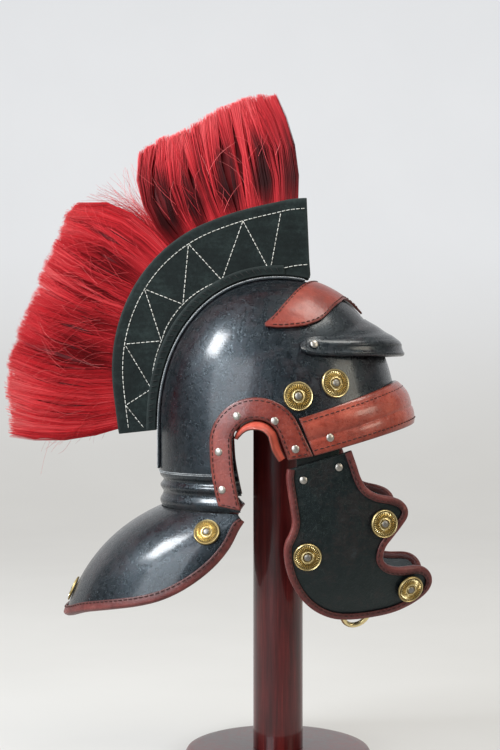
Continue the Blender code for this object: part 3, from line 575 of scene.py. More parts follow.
def hair_finish():
    """Dyed horsehair: the strands' own number `tone` runs from the deep roots to the pale tips, and holds
    painted shade and painted shadow as well as the hair's own tone.
    """
    made = Finish("red_hair", "red_hair", {"Specular IOR Level": 0.14})
    colour = made.ramp(made.number("tone"), (0.05, (0.026, 0.0008, 0.0012)), (0.30, (0.120, 0.0022, 0.0038)),
                       (0.58, (0.50, 0.021, 0.028)), (0.82, (0.67, 0.075, 0.080)), (1.0, (0.74, 0.20, 0.19)))
    made.feed("Base Color", colour)
    made.feed("Roughness", made.noise(300, 2) * 0.25 + 0.32)
    return made


def thread_finish(name, slot, light, dark):
    """Waxed thread: fine twisted plies and a little dirt."""
    made = Finish(name, slot, {"Specular IOR Level": 0.3})
    plies = made.noise(2400, 2, 0.5)
    colour = made.mix(made.noise(140, 3).rise(0.42, 0.7) * 0.6 + plies * 0.25, light, dark)
    made.feed("Base Color", colour)
    made.feed("Roughness", plies * 0.2 + 0.6)
    made.bump(plies, 0.5, 0.0002)
    return made


def wood_finish():
    """Lacquered mahogany: rings stretched along the pole, under a clear coat."""
    made = Finish("dark_wood", "dark_wood", {"Coat Weight": 0.5, "Coat Roughness": 0.05,
                                             "Specular IOR Level": 0.3})
    grain = made.noise(160, 5, 0.6, (1.0, 1.0, 0.06))
    streaks = made.noise(900, 3, 0.6, (1.0, 1.0, 0.03))
    slow = made.noise(14, 3)
    tint = grain * 0.5 + streaks * 0.25 + slow * 0.25
    colour = made.ramp(tint, (0.34, (0.020, 0.0020, 0.0020)), (0.52, (0.085, 0.0070, 0.0070)),
                       (0.68, (0.170, 0.018, 0.014)))
    made.feed("Base Color", colour)
    made.feed("Roughness", grain * 0.2 + 0.25)
    made.bump(streaks * 0.5 + grain * 0.5, 0.15, 0.0002)
    return made


BLACK_SHADES = (
    (0.34, (0.0015, 0.0024, 0.0032)), (0.50, (0.0045, 0.0062, 0.0080)),
    (0.58, (0.0125, 0.0085, 0.0095)), (0.70, (0.022, 0.027, 0.032)))
RED_SHADES = ((0.32, (0.080, 0.011, 0.008)), (0.50, (0.170, 0.025, 0.016)), (0.68, (0.28, 0.052, 0.032)))
BAND_SHADES = ((0.32, (0.150, 0.022, 0.013)), (0.50, (0.290, 0.050, 0.030)), (0.68, (0.42, 0.095, 0.058)))
PLATE_SHADES = ((0.32, (0.100, 0.012, 0.008)), (0.50, (0.190, 0.028, 0.017)), (0.68, (0.30, 0.060, 0.038)))
BRIGHT_SHADES = ((0.32, (0.30, 0.042, 0.026)), (0.50, (0.46, 0.080, 0.050)), (0.68, (0.58, 0.14, 0.095)))
BINDING_SHADES = ((0.32, (0.050, 0.010, 0.009)), (0.50, (0.115, 0.022, 0.019)), (0.68, (0.200, 0.050, 0.042)))
FINISHES = {finish.name: finish for finish in (
    # black_leather: its light edge_shade stands for rubbed wear and a painted highlight where edges catch
    # light
    hide("black_leather", "black_leather", BLACK_SHADES, (0.030, 0.032, 0.033), (0.050, 0.058, 0.064),
         (0.15, 0.33), 0.40, 0.35, edge_wear_and_light=0.45, sheen=(0.72, 0.88, 1.0)),
    # cheek_leather: a duller copy of black_leather for the cheek guards and hinge straps, with darker edge
    # and scuff colours and a green sheen, as painted shade and a painted green reflection
    hide("cheek_leather", "black_leather", BLACK_SHADES, (0.020, 0.022, 0.022), (0.034, 0.042, 0.040),
         (0.20, 0.42), 0.20, 0.35, edge_wear_and_light=0.45, sheen=(0.60, 0.80, 0.72)),
    hide("red_leather", "red_leather", RED_SHADES, (0.035, 0.006, 0.004), (0.34, 0.095, 0.060),
         (0.18, 0.36), 0.40, 0.25, relief=0.7),
    hide("band_leather", "red_leather", BAND_SHADES, (0.06, 0.010, 0.007), (0.42, 0.13, 0.09),
         (0.16, 0.34), 0.45, 0.3, relief=0.7),
    hide("plate_leather", "red_leather", PLATE_SHADES, (0.08, 0.012, 0.009), (0.42, 0.13, 0.09),
         (0.22, 0.42), 0.25, 0.3, relief=0.7),
    # guard_leather: its dark edge_shade is painted shade over the ear guards' inner faces, and it also
    # darkens their lips' rims
    hide("guard_leather", "bright_red_leather", BRIGHT_SHADES, (0.030, 0.009, 0.006), (0.60, 0.20, 0.14),
         (0.30, 0.48), 0.2, 0.3, edge_wear_and_light=1.0, relief=0.4),
    hide("binding_leather", "red_leather", BINDING_SHADES, (0.022, 0.005, 0.004), (0.32, 0.13, 0.10),
         (0.30, 0.52), 0.1, 0.5, edge_wear_and_light=0.6, relief=0.9),
    crest_hide(),
    hair_finish(),
    metal("brass", "brass", (0.74, 0.60, 0.31), (0.15, 0.100, 0.030), 0.20),
    metal("nickel", "nickel", (0.42, 0.39, 0.35), (0.09, 0.080, 0.065), 0.32),
    metal("dull_nickel", "brass", (0.24, 0.225, 0.20), (0.06, 0.055, 0.045), 0.40),
    thread_finish("pale_thread", "crest_leather", (0.62, 0.61, 0.56), (0.26, 0.25, 0.21)),
    thread_finish("dark_thread", "red_leather", (0.050, 0.014, 0.011), (0.013, 0.005, 0.004)),
    thread_finish("grey_thread", "black_leather", (0.34, 0.35, 0.35), (0.08, 0.085, 0.09)),
    thread_finish("black_thread", "black_leather", (0.018, 0.018, 0.018), (0.006, 0.006, 0.006)),
    wood_finish())}


# ---------------- thread and studs
DIP = (-1.4, 0.3, 0.6, 0.3, -1.4)           # a stitch's height along it, over its radius
TAPER = (0.7, 1.0, 1.0, 1.0, 0.7)


def stitches(path, normals, length, gap, radius, lift=0.1):
    """Centres and radii of stitches laid end to end along a path, their ends dipping into the hide.

    Stitch i starts at i (length + gap), and its height over the path is lift + radius DIP.
    """
    run = run_of(path)
    length = min(length, run[-1])
    count = max(1, int((run[-1] + gap) / (length + gap)))
    spare = run[-1] - count * (length + gap) + gap
    start = np.arange(count)[:, None] * (length + gap) + spare / 2
    at = (start + length * np.array([0, 0.14, 0.5, 0.86, 1])).ravel()
    height = lift + radius * np.tile(DIP, count)
    normals = np.broadcast_to(normals, path.shape)
    normal = np.stack([np.interp(at, run, column) for column in normals.T], axis=-1)
    centres = at_lengths(path, at) + unit(normal) * height[:, None]
    radii = radius * np.tile(TAPER, count)
    return centres.reshape(count, 5, 3), radii.reshape(count, 5)


def thread(name, runs, finish, sides=6):
    """One piece of thread from several runs of stitches."""
    centres, radii = (np.concatenate(part) for part in zip(*runs))
    rods(name, centres, radii, sides, finish)


def stud_frame(node):
    """Foot, two cross axes, outward axis and radius of a turned stud, off its solid.

    The outward axis is the direction in which the solid's points spread least, worked out
    first for all points and then for the ring of its foot alone.
    """
    foot = points = np.unique(np.round(points_of(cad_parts[node].data) / MM, 3), axis=0)
    for reach in (0.25, 0.08):
        middle = foot.mean(axis=0)
        axis = np.linalg.svd(foot - middle)[2][2]
        axis *= np.sign(axis @ (middle * (1, 1, 0)))
        height = (points - middle) @ axis
        foot = points[height < height.min() + reach * np.ptp(height)]
    foot_middle = (foot.max(axis=0) + foot.min(axis=0)) / 2
    radius = np.linalg.norm(foot - foot_middle, axis=1).max()
    across = unit(np.cross(axis, (0.0, 0.0, 1.0)))
    return foot_middle, across, np.cross(axis, across), axis, radius


def stud_points(place, share, angle, height):
    """Points of a stud at shares s of its radius R: foot + R s (cos a, sin a) + axis R h."""
    foot, across, up, axis, radius = place
    share, angle, height = (part[..., None] for part in np.broadcast_arrays(share, angle, height))
    return foot + radius * (share * (across * np.cos(angle) + up * np.sin(angle)) + height * axis)


def stud(name, node, place, heights, shares, steps, finish, scallop=None, hollow=None):
    """A round stud: its face's height over each share of the radius, with an optional scallop.

    A fan closes its flat back.
    """
    turn = np.linspace(0, 2 * math.pi, steps, endpoint=False)
    share, angle = np.meshgrid(shares, turn, indexing="ij")
    height = np.interp(share, *np.array(heights).T)
    if scallop:
        height = height + scallop(share, angle)
    points = stud_points(place, share, angle, height).reshape(-1, 3)
    count = len(points)
    top = stud_points(place, 0.0, 0.0, heights[0][1])
    first = np.arange(steps)
    faces = [grid_faces(len(shares), steps, True), fan(first, count, True),
             fan(first + count - steps, count + 1)]
    # painted shade: these numbers darken the stud's grooves in its finish
    depth = hollow(share, height) if hollow else 0 * share
    closed_piece(name, np.vstack([points, top, place[0]]), faces, finish, node,
                 values={"hollow": np.append(depth, [0, 0])}, crease=50)


ROSETTE_FACE = (            # share of the radius, height as a share of it
    (0.00, 0.240), (0.14, 0.235), (0.22, 0.200), (0.26, 0.130), (0.285, 0.090), (0.315, 0.110),
    (0.345, 0.175), (0.375, 0.175), (0.41, 0.145), (0.50, 0.160), (0.62, 0.165), (0.74, 0.145),
    (0.82, 0.105), (0.855, 0.080), (0.885, 0.115), (0.92, 0.160), (0.96, 0.155), (0.985, 0.110),
    (1.00, 0.030))


def rosette_scallop(share, angle):
    """36 flutes between the middle ring and the rim: a cosine round the stud, faded at both ends."""
    return 0.055 * np.cos(36 * angle) * smoothstep(share, 0.38, 0.50) * (1 - smoothstep(share, 0.78, 0.86))


def rosette_hollow(share, height):
    """1 in the rosette's grooves, which the brass finish darkens as painted shade, and 0 on whatever stands
    up.
    """
    return 1 - smoothstep(height, 0.105, 0.175) * (share < 0.99)


def build_studs():
    """Rosettes with their middle rivets, and the plain rivets of each side."""
    face = np.concatenate([np.linspace(0.13, 0.98, 24), [1.0]])
    head = np.array([0.15, 0.35, 0.55, 0.72, 0.86, 0.95, 1.0])
    dome = [(share, 0.40 * math.sqrt(1 - share ** 2)) for share in np.linspace(0, 1, 24)]
    turn = np.linspace(0, 2 * math.pi, 24, endpoint=False)
    middle_share = np.array([1.0, 0.95, 0.7, 0.4])[:, None] * 0.25
    middle_height = np.array([0.12, 0.20, 0.25, 0.265])[:, None]
    for node in sorted(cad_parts):
        if "_rosette" in node:
            place = stud_frame(node)
            stud(node.replace("rosette", "concho"), node, place, ROSETTE_FACE, face, 180, "brass",
                 rosette_scallop, rosette_hollow)
            rings = stud_points(place, middle_share, turn, middle_height)
            loft(node.replace("rosette", "concho_rivet"), rings, "dull_nickel")
        elif "_rivet" in node:
            stud(node.replace("rivet", "rivet_head"), node, stud_frame(node), dome, head, 28, "nickel")


# ---------------- stand
def build_stand():
    """The turned base and pole; the hidden cap keeps its solid."""
    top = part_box("stand_base")[1].z / MM
    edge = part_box("stand_base")[1].x / MM
    base = [(0, top), (edge - 12, top), (edge - 6.5, top - 0.4), (edge - 2.5, top - 1.8), (edge, top - 6),
            (edge, 4), (edge - 3, 0), (0, 0)]
    turned("turned_base", base, 160, "dark_wood", "stand_base", rounding=0.9)
    low, high = (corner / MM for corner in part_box("stand_pole"))
    pole = [(0, high.z), (high.x, high.z), (high.x, low.z), (0, low.z)]
    turned("turned_pole", pole, 144, "dark_wood", "stand_pole")


# ---------------- skull and neck guard
EAR_HOLE_REAR = ((-34.5, 250.0), (-41.5, 286.0), (-45.5, 306.0))
EAR_HOLE_FRONT = ((8.5, 312.0), (10.5, 307.0), (10.5, 250.0))


def build_skull():
    """The hollow skull with its flared brow and nape rolls, an arch cut out over each ear."""
    angles = np.linspace(0, 2 * math.pi, 200, endpoint=False)
    plan_x = HALF_LENGTH * signed_power(np.cos(angles), 2 / SKULL_POWER)
    ahead = smoothstep(plan_x, -34, 8)
    low = NAPE_RIM + (brow_bottom(np.maximum(plan_x, 0)) + 1.5 - NAPE_RIM) * ahead
    high = NAPE_TOP + (brow_top(np.maximum(plan_x, 0)) - NAPE_TOP) * ahead
    crown = SKULL_LEVEL + SKULL_HEIGHT
    rows = [skull_at_angle(angles, low + share * (high - low), skirt_offset(plan_x, share))
            for share in np.linspace(0, 1, 24)]
    lifts = np.sin(np.arange(1, 33) / 32.6 * math.pi / 2)
    rows += [skull_at_angle(angles, high + lift * (crown - high)) for lift in lifts]
    skull = sheet("skull_shell", np.array(rows), -LEATHER, (0, 0, 1), "black_leather", "skull",
                  closed=True, tip=(0, 0, crown), rounding=0)
    skull.modifiers["wall"].use_even_offset = False
    outline = np.vstack([EAR_HOLE_REAR, arc(EAR_CENTRE, EAR_HOLE, 180, 28, 40), EAR_HOLE_FRONT])
    sides = np.array([[(x, y, z) for x, z in outline] for y in (-130.0, 130.0)])
    cutter = loft("ear_arches", sides, "black_leather")
    cut = skull.modifiers.new("ears", "BOOLEAN")
    cut.object = cutter
    cut.solver = "EXACT"
    done = bpy.data.meshes.new_from_object(skull.evaluated_get(bpy.context.evaluated_depsgraph_get()))
    skull.modifiers.clear()
    skull.data = done
    bpy.data.objects.remove(cutter, do_unlink=True)
    done.set_sharp_from_angle(angle=math.radians(50))
    around = np.radians(np.linspace(113, 247, 160))
    runs = []
    for height in (NAPE_TOP - 0.6, NAPE_TOP + 0.8):
        x = HALF_LENGTH * signed_power(np.cos(around), 2 / SKULL_POWER)
        share = np.minimum((height - NAPE_RIM) / (NAPE_TOP - NAPE_RIM), 1.0) + 0 * x
        path = skull_at_angle(around, height + 0 * around, skirt_offset(x, share))
        runs.append(stitches(path, skull_normal(*path.T), 2.4, 0.5, 0.42))
    thread("nape_thread", runs, "grey_thread")


NECK_EDGE = (               # x, y, z along the neck guard's edge, from behind the ear to the middle
    (-36, 89, 254.5), (-41, 91, 247), (-50, 94, 230), (-65, 98, 212.5), (-86, 101, 196.5), (-108, 100, 185),
    (-131, 95, 178), (-158, 82, 172.5), (-183, 60, 166.5), (-200, 34, 159), (-207, 14, 155.5), (-208, 0, 155))
NECK_BULGE = 0.117          # rise of the guard over its chord, as a share of the chord
NECK_SPREAD = math.radians(72)
NECK_BINDING = 6.5
NECK_BINDING_ROOM = 1.0
NECK_MIDDLE = (-60.0, 0.0, 150.0)           # a place inside, under the guard


def neck_grid(columns, shares):
    """Rows of the neck guard from the skull's rim (share 0) to its edge (share 1), and normals.

    A point is rim + chord s + rise 4 bulge |chord| s (1 - s); normals come from differences.
    """
    half = smooth_path(NECK_EDGE, columns // 2 + 1)
    edge = np.vstack([half[:-1] * (1, -1, 1), half[::-1]])
    angles = math.pi - np.linspace(-1, 1, len(edge)) * NECK_SPREAD
    rim = skull_at_angle(angles, NAPE_RIM - 3.2 + 0 * angles, -3.0)
    chord = edge - rim
    length = np.linalg.norm(chord, axis=1, keepdims=True)
    run = np.linalg.norm(chord[:, :2], axis=1)
    outward = unit(np.stack([rim[:, 0] / HALF_LENGTH, rim[:, 1] / HALF_WIDTH, 0 * run], axis=1))
    rise = unit(outward * -chord[:, 2:3] + np.stack([0 * run, 0 * run, run], axis=1))
    share = np.asarray(shares)[:, None, None]
    rows = rim + chord * share + rise * length * (4 * NECK_BULGE * share * (1 - share))
    return rows, grid_normals(rows, rows - NECK_MIDDLE)


def binding(name, edge, inward, normal, depth, reach, room, node):
    """A strip folded round a wall's edge, with a round fold and thin lips; returns its outer lip.

    A section point is edge + inward a + normal b: flat lips, joined by an ellipse about
    half the wall's depth, outside and inside.
    """
    thick = BINDING_LEATHER
    middle = -depth / 2
    turn = np.linspace(0.5, 1.5, 11)[:, None] * math.pi
    outer = np.hstack([(room + thick) * np.cos(turn), middle + (depth / 2 + room + thick) * np.sin(turn)])
    inner = np.hstack([room * np.cos(turn[::-1]), middle + (depth / 2 + room) * np.sin(turn[::-1])])
    cover = reach[:, None]
    top = np.array([(0.0, room), (0.0, room + 0.7 * thick), (-0.5, room + thick)])
    sole = np.array([(-0.5, -depth - room - thick), (0.0, -depth - room - 0.7 * thick), (0.0, -depth - room)])
    a = np.hstack([cover + top[:, 0], 0 * cover + outer[:, 0], cover + sole[:, 0], 0 * cover + inner[:, 0]])
    b = np.concatenate([part[:, 1] for part in (top, outer, sole, inner)])
    sections = edge[:, None] + inward[:, None] * a[..., None] + normal[:, None] * b[None, :, None]
    lip = np.isin(np.arange(a.shape[1]), (0, 1, 2, 14, 15, 16)).astype(float)
    loft(name, sections, "binding_leather", node, values={"edge": np.tile(lip, len(edge))}, crease=70)
    return edge + inward * (cover - 1.6) + normal * (room + thick)


def build_neck_guard():
    """The flaring neck guard and the strip bound round its edge with a row of stitches."""
    rows, normals = neck_grid(160, np.linspace(0, 1, 36))
    sheet("neck_flare", rows, LEATHER, (-1, 0, 1), "black_leather", "neck_guard", rounding=0.7)
    edge = rows[-1]
    inward = facing(unit(np.cross(normals[-1], np.gradient(edge, axis=0))), rows[-2] - edge)
    reach = np.minimum(NECK_BINDING, 0.7 * np.linalg.norm(rows[0] - edge, axis=1))
    path = binding("neck_edge_strip", edge + normals[-1] * LEATHER, inward, normals[-1], LEATHER, reach,
                   NECK_BINDING_ROOM, "neck_binding")
    thread("neck_thread", [stitches(path, normals[-1], 4.0, 1.5, 0.5)], "dark_thread")


# ---------------- crest
CREST_RIM = (               # angle in degrees from +X, radius of the box's rim
    (80, 171.0), (86, 167.5), (93, 163.0), (102, 160.5), (112, 160.0), (125, 162.0),
    (145, 164.0), (170, 164.5), (188, 165.0), (196, 167.0), (203, 171.0))
RIM_INSET = 10.7            # from the rim to the outer row of stitches
CREST_INNER_SEAM = (        # angle and radius of the inner row of stitches
    (73.3, 106.7), (94.9, 95.3), (111.6, 95.9), (122.8, 103.1), (135.7, 109.1), (146.3, 113.4),
    (160.2, 117.7), (167, 118.7), (181.2, 124), (189.4, 127.2), (201.2, 130.2))
CREST_ZIGZAG = (            # angles of the zigzag's corners, on the outer and the inner row in turn
    89.0, 94.9, 103.5, 122.8, 125.9, 146.3, 149.5, 167.0, 171.2, 189.4, 193.8)
PLUMES = {                  # angle at the rim, angle at the tip, radius of the tip, how late it bends
    "crest_hair_front": (
        (83, 90.0, 271, 1.6), (92, 94.5, 270, 1.6), (101, 100, 267, 1.6), (109, 107, 261, 1.6),
        (117, 113.5, 253, 1.7), (125, 118.5, 257, 2.0), (131.6, 122.7, 257, 2.6)),
    "crest_hair_rear": (
        (132.3, 140.6, 258, 3.3), (138.5, 143.5, 260, 2.3), (147, 148.5, 255, 1.7), (156, 156, 254, 1.6),
        (165, 163, 254, 1.6), (173, 169, 257, 1.6), (180, 175, 265, 1.6), (188, 182, 269, 1.6),
        (195, 188, 271, 1.6), (201, 194, 274, 1.6))}
HAIR_ROOT = 7.0             # how deep the hair sits between the crest's sides
HAIR_RADIUS = 0.30
HAIR_SPREAD = (             # share of the hair's length, half its thickness
    (0.00, 11.4), (0.09, 11.6), (0.40, 14.5), (1.00, 9.0))


def crest_place(angle_deg, radius, y=0.0):
    """A point at a polar place about the crest's centre."""
    angle = np.radians(angle_deg)
    x = CREST_CENTRE[0] + radius * np.cos(angle)
    return np.stack([x, y + 0 * x, CREST_CENTRE[1] + radius * np.sin(angle)], axis=-1)


def crest_rim(angle, table=CREST_RIM):
    """Radius of the crest's rim, or of another table of angles."""
    return soft_table(table, (1,), angle)[0]


def crest_foot(count, out):
    """The crest's foot along the crown, from its front corner to the nape, `out` off the skull."""
    turn = np.linspace(math.radians(60), math.radians(181), 400)
    foot = crown_line(turn, 0.0, out)
    foot = foot[foot[:, 0] < CREST_FRONT]
    return at_lengths(foot, np.linspace(0, run_of(foot)[-1], count))


def crest_seams(y):
    """Paths of the white stitching on a side of the crest at width y."""
    outer = np.linspace(79.8, 202.6, 140)
    inner = np.linspace(74.0, 201.0, 140)
    corners = np.array(CREST_ZIGZAG)
    radii = np.where(np.arange(len(corners)) % 2, crest_rim(corners, CREST_INNER_SEAM),
                     crest_rim(corners) - RIM_INSET)
    zigzag = crest_place(corners, radii, y)
    last = crest_place(204.0, 145.6, y)
    inner_path = crest_place(inner, crest_rim(inner, CREST_INNER_SEAM), y)
    inner_path = inner_path[inner_path[:, 0] < CREST_FRONT - 1.5]
    paths = [crest_place(outer, crest_rim(outer) - RIM_INSET, y), inner_path]
    paths += [np.array([start, end]) for start, end in zip(zigzag, np.vstack([zigzag[1:], last]))]
    return paths


def distance_to(points, path):
    """Least distance from points to a path of straight steps."""
    start, step = path[:-1], np.diff(path, axis=0)
    reach = points[:, None] - start
    share = np.clip((reach * step).sum(axis=2) / (step ** 2).sum(axis=1), 0, 1)[..., None]
    return np.linalg.norm(reach - step * share, axis=2).min(axis=1)


def seam_run(path, count, side, *gauge):
    """Stitches along a flat path on a side of the crest, resampled to `count` points."""
    return stitches(at_lengths(path, np.linspace(0, run_of(path)[-1], count)), (0, side, 0), *gauge)


def build_crest():
    """Two stitched leather sides with a seam flange at the foot; the core between them takes the crest
    leather.
    """
    foot = crest_foot(150, 2.8)
    angles = np.linspace(80.5, 202.5, 150)
    rim = crest_place(angles, crest_rim(angles))
    foot[0] += (0, 0, 1.5)
    share = np.linspace(0, 1, 22)[:, None, None]
    for word, side in SIDES.items():
        grid = rim + (foot - rim) * share
        grid[..., 1] = side * (CREST_HALF - CREST_LEATHER)
        sheet(f"crest_side_{word}", grid, CREST_LEATHER, (0, side, 0), "crest_leather",
              f"crest_panel_{word}", rounding=0.7, fade=1.4)
        seams = [seam_run(path, 60, side, 4.1, 0.7, 0.40, -0.1) for path in crest_seams(side * CREST_HALF)]
        thread(f"crest_thread_{word}", seams, "pale_thread")
        build_crest_flange(word, side)
    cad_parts["crest_core"].material_slots[0].material = FINISHES["crest_leather"].material


def build_crest_flange(word, side):
    """The flange that sews a side of the crest to the skull, with slanting tick stitches."""
    low, high = crest_foot(220, 3.4), crest_foot(220, 12.5)
    share = np.linspace(0, 1, 4)[:, None, None]
    grid = low + (high - low) * share
    grid[..., 1] = side * (CREST_HALF + 0.05)
    grid = grid[:, 22:]
    sheet(f"crest_flange_{word}", grid, 1.1, (0, side, 0), "crest_leather", rounding=0.4, fade=1.0)
    runs = []
    for start in range(4, grid.shape[1] - 6, 5):
        low, high = grid[[0, -1], start], grid[[0, -1], start + 3]
        tick = np.array([low[0] * 0.9 + low[1] * 0.1, high[0] * 0.1 + high[1] * 0.9])
        tick[:, 1] = side * (CREST_HALF + 1.15)
        runs.append(seam_run(tick, 8, side, 6.6, 0.5, 0.34))
    thread(f"crest_ticks_{word}", runs, "black_thread", 5)


def build_crown_strip():
    """The strip sewn over the middle of the skull, with two close rows of stitches along either edge."""
    turn = np.linspace(math.radians(78.5), math.radians(180), 150)
    widths = np.linspace(-STRIP_HALF_WIDTH, STRIP_HALF_WIDTH, 12)
    rows = np.array([crown_line(turn, y, FIT) for y in widths])
    down = np.linspace(0, 1, 30)[1:, None] * (0, 0, NAPE_TOP + 3 - SKULL_LEVEL)
    rows = np.concatenate([rows, rows[:, -1:] + down], axis=1)
    sheet("crown_cover", rows, THIN_LEATHER, (-0.5, 0, 1), "black_leather", "crown_strip", rounding=0.5)
    runs = []
    for width in (-18.3, -16.4, 16.4, 18.3):
        path = crown_line(turn, width, FIT + THIN_LEATHER)
        path = np.vstack([path, path[-1:] + down])
        runs.append(stitches(path, skull_normal(*path.T), 2.2, 0.35, 0.38, 0.05))
    thread("crown_thread", runs, "grey_thread", 5)


def waves(random, place, count, slow, quick):
    """A smooth random number between 0 and 1 along a line: a mean of `count` cosines."""
    pace = random.uniform(slow, quick, count)
    phase = random.uniform(0, 2 * math.pi, count)
    return 0.5 + 0.5 * np.clip(np.cos(place[..., None] * pace + phase).mean(axis=-1) * 1.8, -1, 1)


def plume_place(rows, along, share):
    """Angle and radius at share t of the hair's length, read at its place along the plume.

    The angle is root + (tip - root) t^bend and the radius start + (reach - start) t.
    """
    rows = np.array(rows, dtype=float)
    key = np.linspace(0, 1, len(rows))
    root, tip, reach, bend = (np.interp(along, key, column) for column in rows.T)
    start = crest_rim(root) - HAIR_ROOT
    return root + (tip - root) * share ** bend, start, reach


def hair(name, rows, count, locks, pocket_shadow, bright, seed, *nodes):
    """Strands of one plume, gathered in locks and finer tufts, trimmed flush at the tips.

    A strand's places along and across the plume are pulled towards the middle of its lock
    and of its tuft, more towards its tip, and its angle gains a turn and a wave of both.
    """
    random = np.random.default_rng(seed)
    wide = len(rows) * 1.1                  # the plume's length over half its thickness
    s = random.uniform(0, 1, count)
    side = np.where(random.random(count) < 0.5, -1.0, 1.0)
    outer = random.random(count) < 0.78
    depth = np.where(outer, 1 - 0.34 * random.random(count) ** 1.4, random.random(count))
    places = np.stack([s * wide, side * depth], axis=1)
    share = np.array([0, 0.27, 0.54, 0.79, 1.0])
    pulled = np.repeat(places[:, None], len(share), axis=1)
    turn = random.normal(0, 0.5, count)[:, None] * share ** 1.6
    tone = random.normal(0, 0.06, count)[:, None] + 0 * share
    long = -0.03 * random.random(count) ** 2
    ends = (smoothstep(s, 0, 0.10) * (1 - smoothstep(s, 0.92, 1)))[:, None]
    tufts = locks * 7
    for lots, pull, lean, shade, early in ((locks, 0.26, 0.9, 0.09, 0.0), (tufts, 0.46, 0.55, 0.05, 0.10)):
        centres = random.uniform((0, -1), (wide, 1), (lots, 2))
        chosen = np.linalg.norm(places[:, None] - centres, axis=2).argmin(axis=1)
        gathered = pull * smoothstep(share, early, 0.6) * (1 - 0.55 * smoothstep(share, 0.55, 1)) * ends
        pulled += (centres[chosen] - places)[:, None] * (1, 0.3) * gathered[..., None]
        pace, phase = random.uniform(2, 5, lots)[:, None], random.uniform(0, 6, lots)[:, None]
        curl = lean * np.sin(share * pace + phase)
        turn += (random.normal(0, lean, lots)[:, None] * share ** 1.4 + curl * share * 0.7)[chosen]
        tone += random.normal(0, shade, lots)[chosen][:, None]
        long += np.minimum(random.normal(0, 0.004, lots), 0.006)[chosen]
    along = np.clip(pulled[..., 0] / wide, 0, 1)
    across = np.clip(pulled[..., 1], -1, 1)
    angle, start, reach = plume_place(rows, along, share)
    angle = angle + turn * (0.25 + 0.75 * ends)
    radius = start + (reach * (1 + long[:, None]) - start) * share
    thick = np.interp(share, *np.array(HAIR_SPREAD).T)
    y = across * thick + random.normal(0, 0.5, count)[:, None] * share
    radii = HAIR_RADIUS * np.array([1.0, 1.05, 1.05, 0.9, 0.45]) * random.uniform(0.8, 1.25, count)[:, None]
    # painted shadow pockets: where along the plume the hair is darkened at about a third of its length
    pocket_shadow_mask = waves(random, along * wide + 0.6 * share, 5, 1.5, 4.5) * (0.3 + 0.7 * ends)
    # tone: the plume's level of painted light (bright), less painted shadow pockets and painted shade on
    # strands deep inside the plume, plus paler tips and random waves
    tone += (bright - pocket_shadow * pocket_shadow_mask * np.exp(-((share - 0.36) / 0.24) ** 2) + 0.22 * share ** 7
             - 0.16 * (1 - np.abs(across)) + 0.07 * (waves(random, along * wide, 6, 8, 20) - 0.5))
    rods(name, crest_place(angle, radius, y), radii, 3, "red_hair", *nodes,
         values={"tone": np.clip(tone, 0, 1)})


def plume_core(name, rows):
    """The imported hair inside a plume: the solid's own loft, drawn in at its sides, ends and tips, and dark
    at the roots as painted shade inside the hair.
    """
    along = np.linspace(0.03, 0.97, 52)[:, None]
    share = np.linspace(0, 1, 14)
    angle, start, reach = plume_place(rows, along, share)
    length = reach - 9 - 4 * np.cos(np.arange(len(along)) * 2.1)[:, None] - start
    thick = np.interp(share, *np.array(HAIR_SPREAD).T) * (0.80 - 0.35 * share ** 3)
    half = crest_place(angle, start + length * share, thick + 0 * angle)
    sections = np.concatenate([half, half[:, ::-1] * (1, -1, 1)], axis=1)
    # painted shade: the core is darkest at the roots and lighter towards the tips
    tone = np.tile(np.concatenate([share, share[::-1]]) ** 3 * 0.32 + 0.20, (len(sections), 1))
    loft(name, sections, "red_hair", values={"tone": tone})


def fly_away(name, seed, root, depth, reach, lean, curl, y, drift, bright):
    """Single hairs: the angle is root + lean t + curl t^3, and y moves by drift t^2.

    t is the share of the hair from its root, and depth how far outside the rim it starts.
    """
    random = np.random.default_rng(seed)
    count = len(root)
    share = np.linspace(0, 1, 6)
    angle = root[:, None] + lean[:, None] * share + curl[:, None] * share ** 3
    start = (crest_rim(root) + depth)[:, None]
    radius = start + (reach[:, None] - start) * share
    aside = y[:, None] + drift[:, None] * share ** 2
    radii = random.uniform(0.13, 0.21, count)[:, None] * np.linspace(1, 0.5, 6)
    tone = np.clip(random.normal(bright, 0.12, count)[:, None] + 0.15 * share, 0, 1)
    rods(name, crest_place(angle, radius, aside), radii, 3, "red_hair", values={"tone": tone})


def build_loose_hair():
    """Wisps that fill the foot of the gap between the plumes, and hairs that cross their faces."""
    random = np.random.default_rng(71)
    count = 620
    out = random.random(count) ** 2.4
    fly_away("gap_wisps", 72, random.uniform(129.5, 135, count), -HAIR_ROOT, 198 + 60 * out,
             random.normal(-0.6, 0.9, count), random.normal(2.0, 2.5, count) * (0.4 + 1.6 * out),
             random.uniform(-11, 11, count), random.normal(0, 2.5, count), 0.50)
    for label, low, high, count in (("front", 90, 127, 60), ("rear", 140, 198, 420)):
        side = np.where(random.random(count) < 0.5, -1.0, 1.0)
        depth = random.uniform(0, 60, count)
        root = random.uniform(low, high, count)
        fly_away(f"crossing_hair_{label}", 73 + count, root, depth,
                 crest_rim(root) + depth + random.uniform(15, 38, count), random.normal(1.0, 3.2, count),
                 random.normal(0, 2.0, count), side * random.uniform(14.6, 15.4, count),
                 side * random.uniform(-3.5, 0.5, count), 0.66)


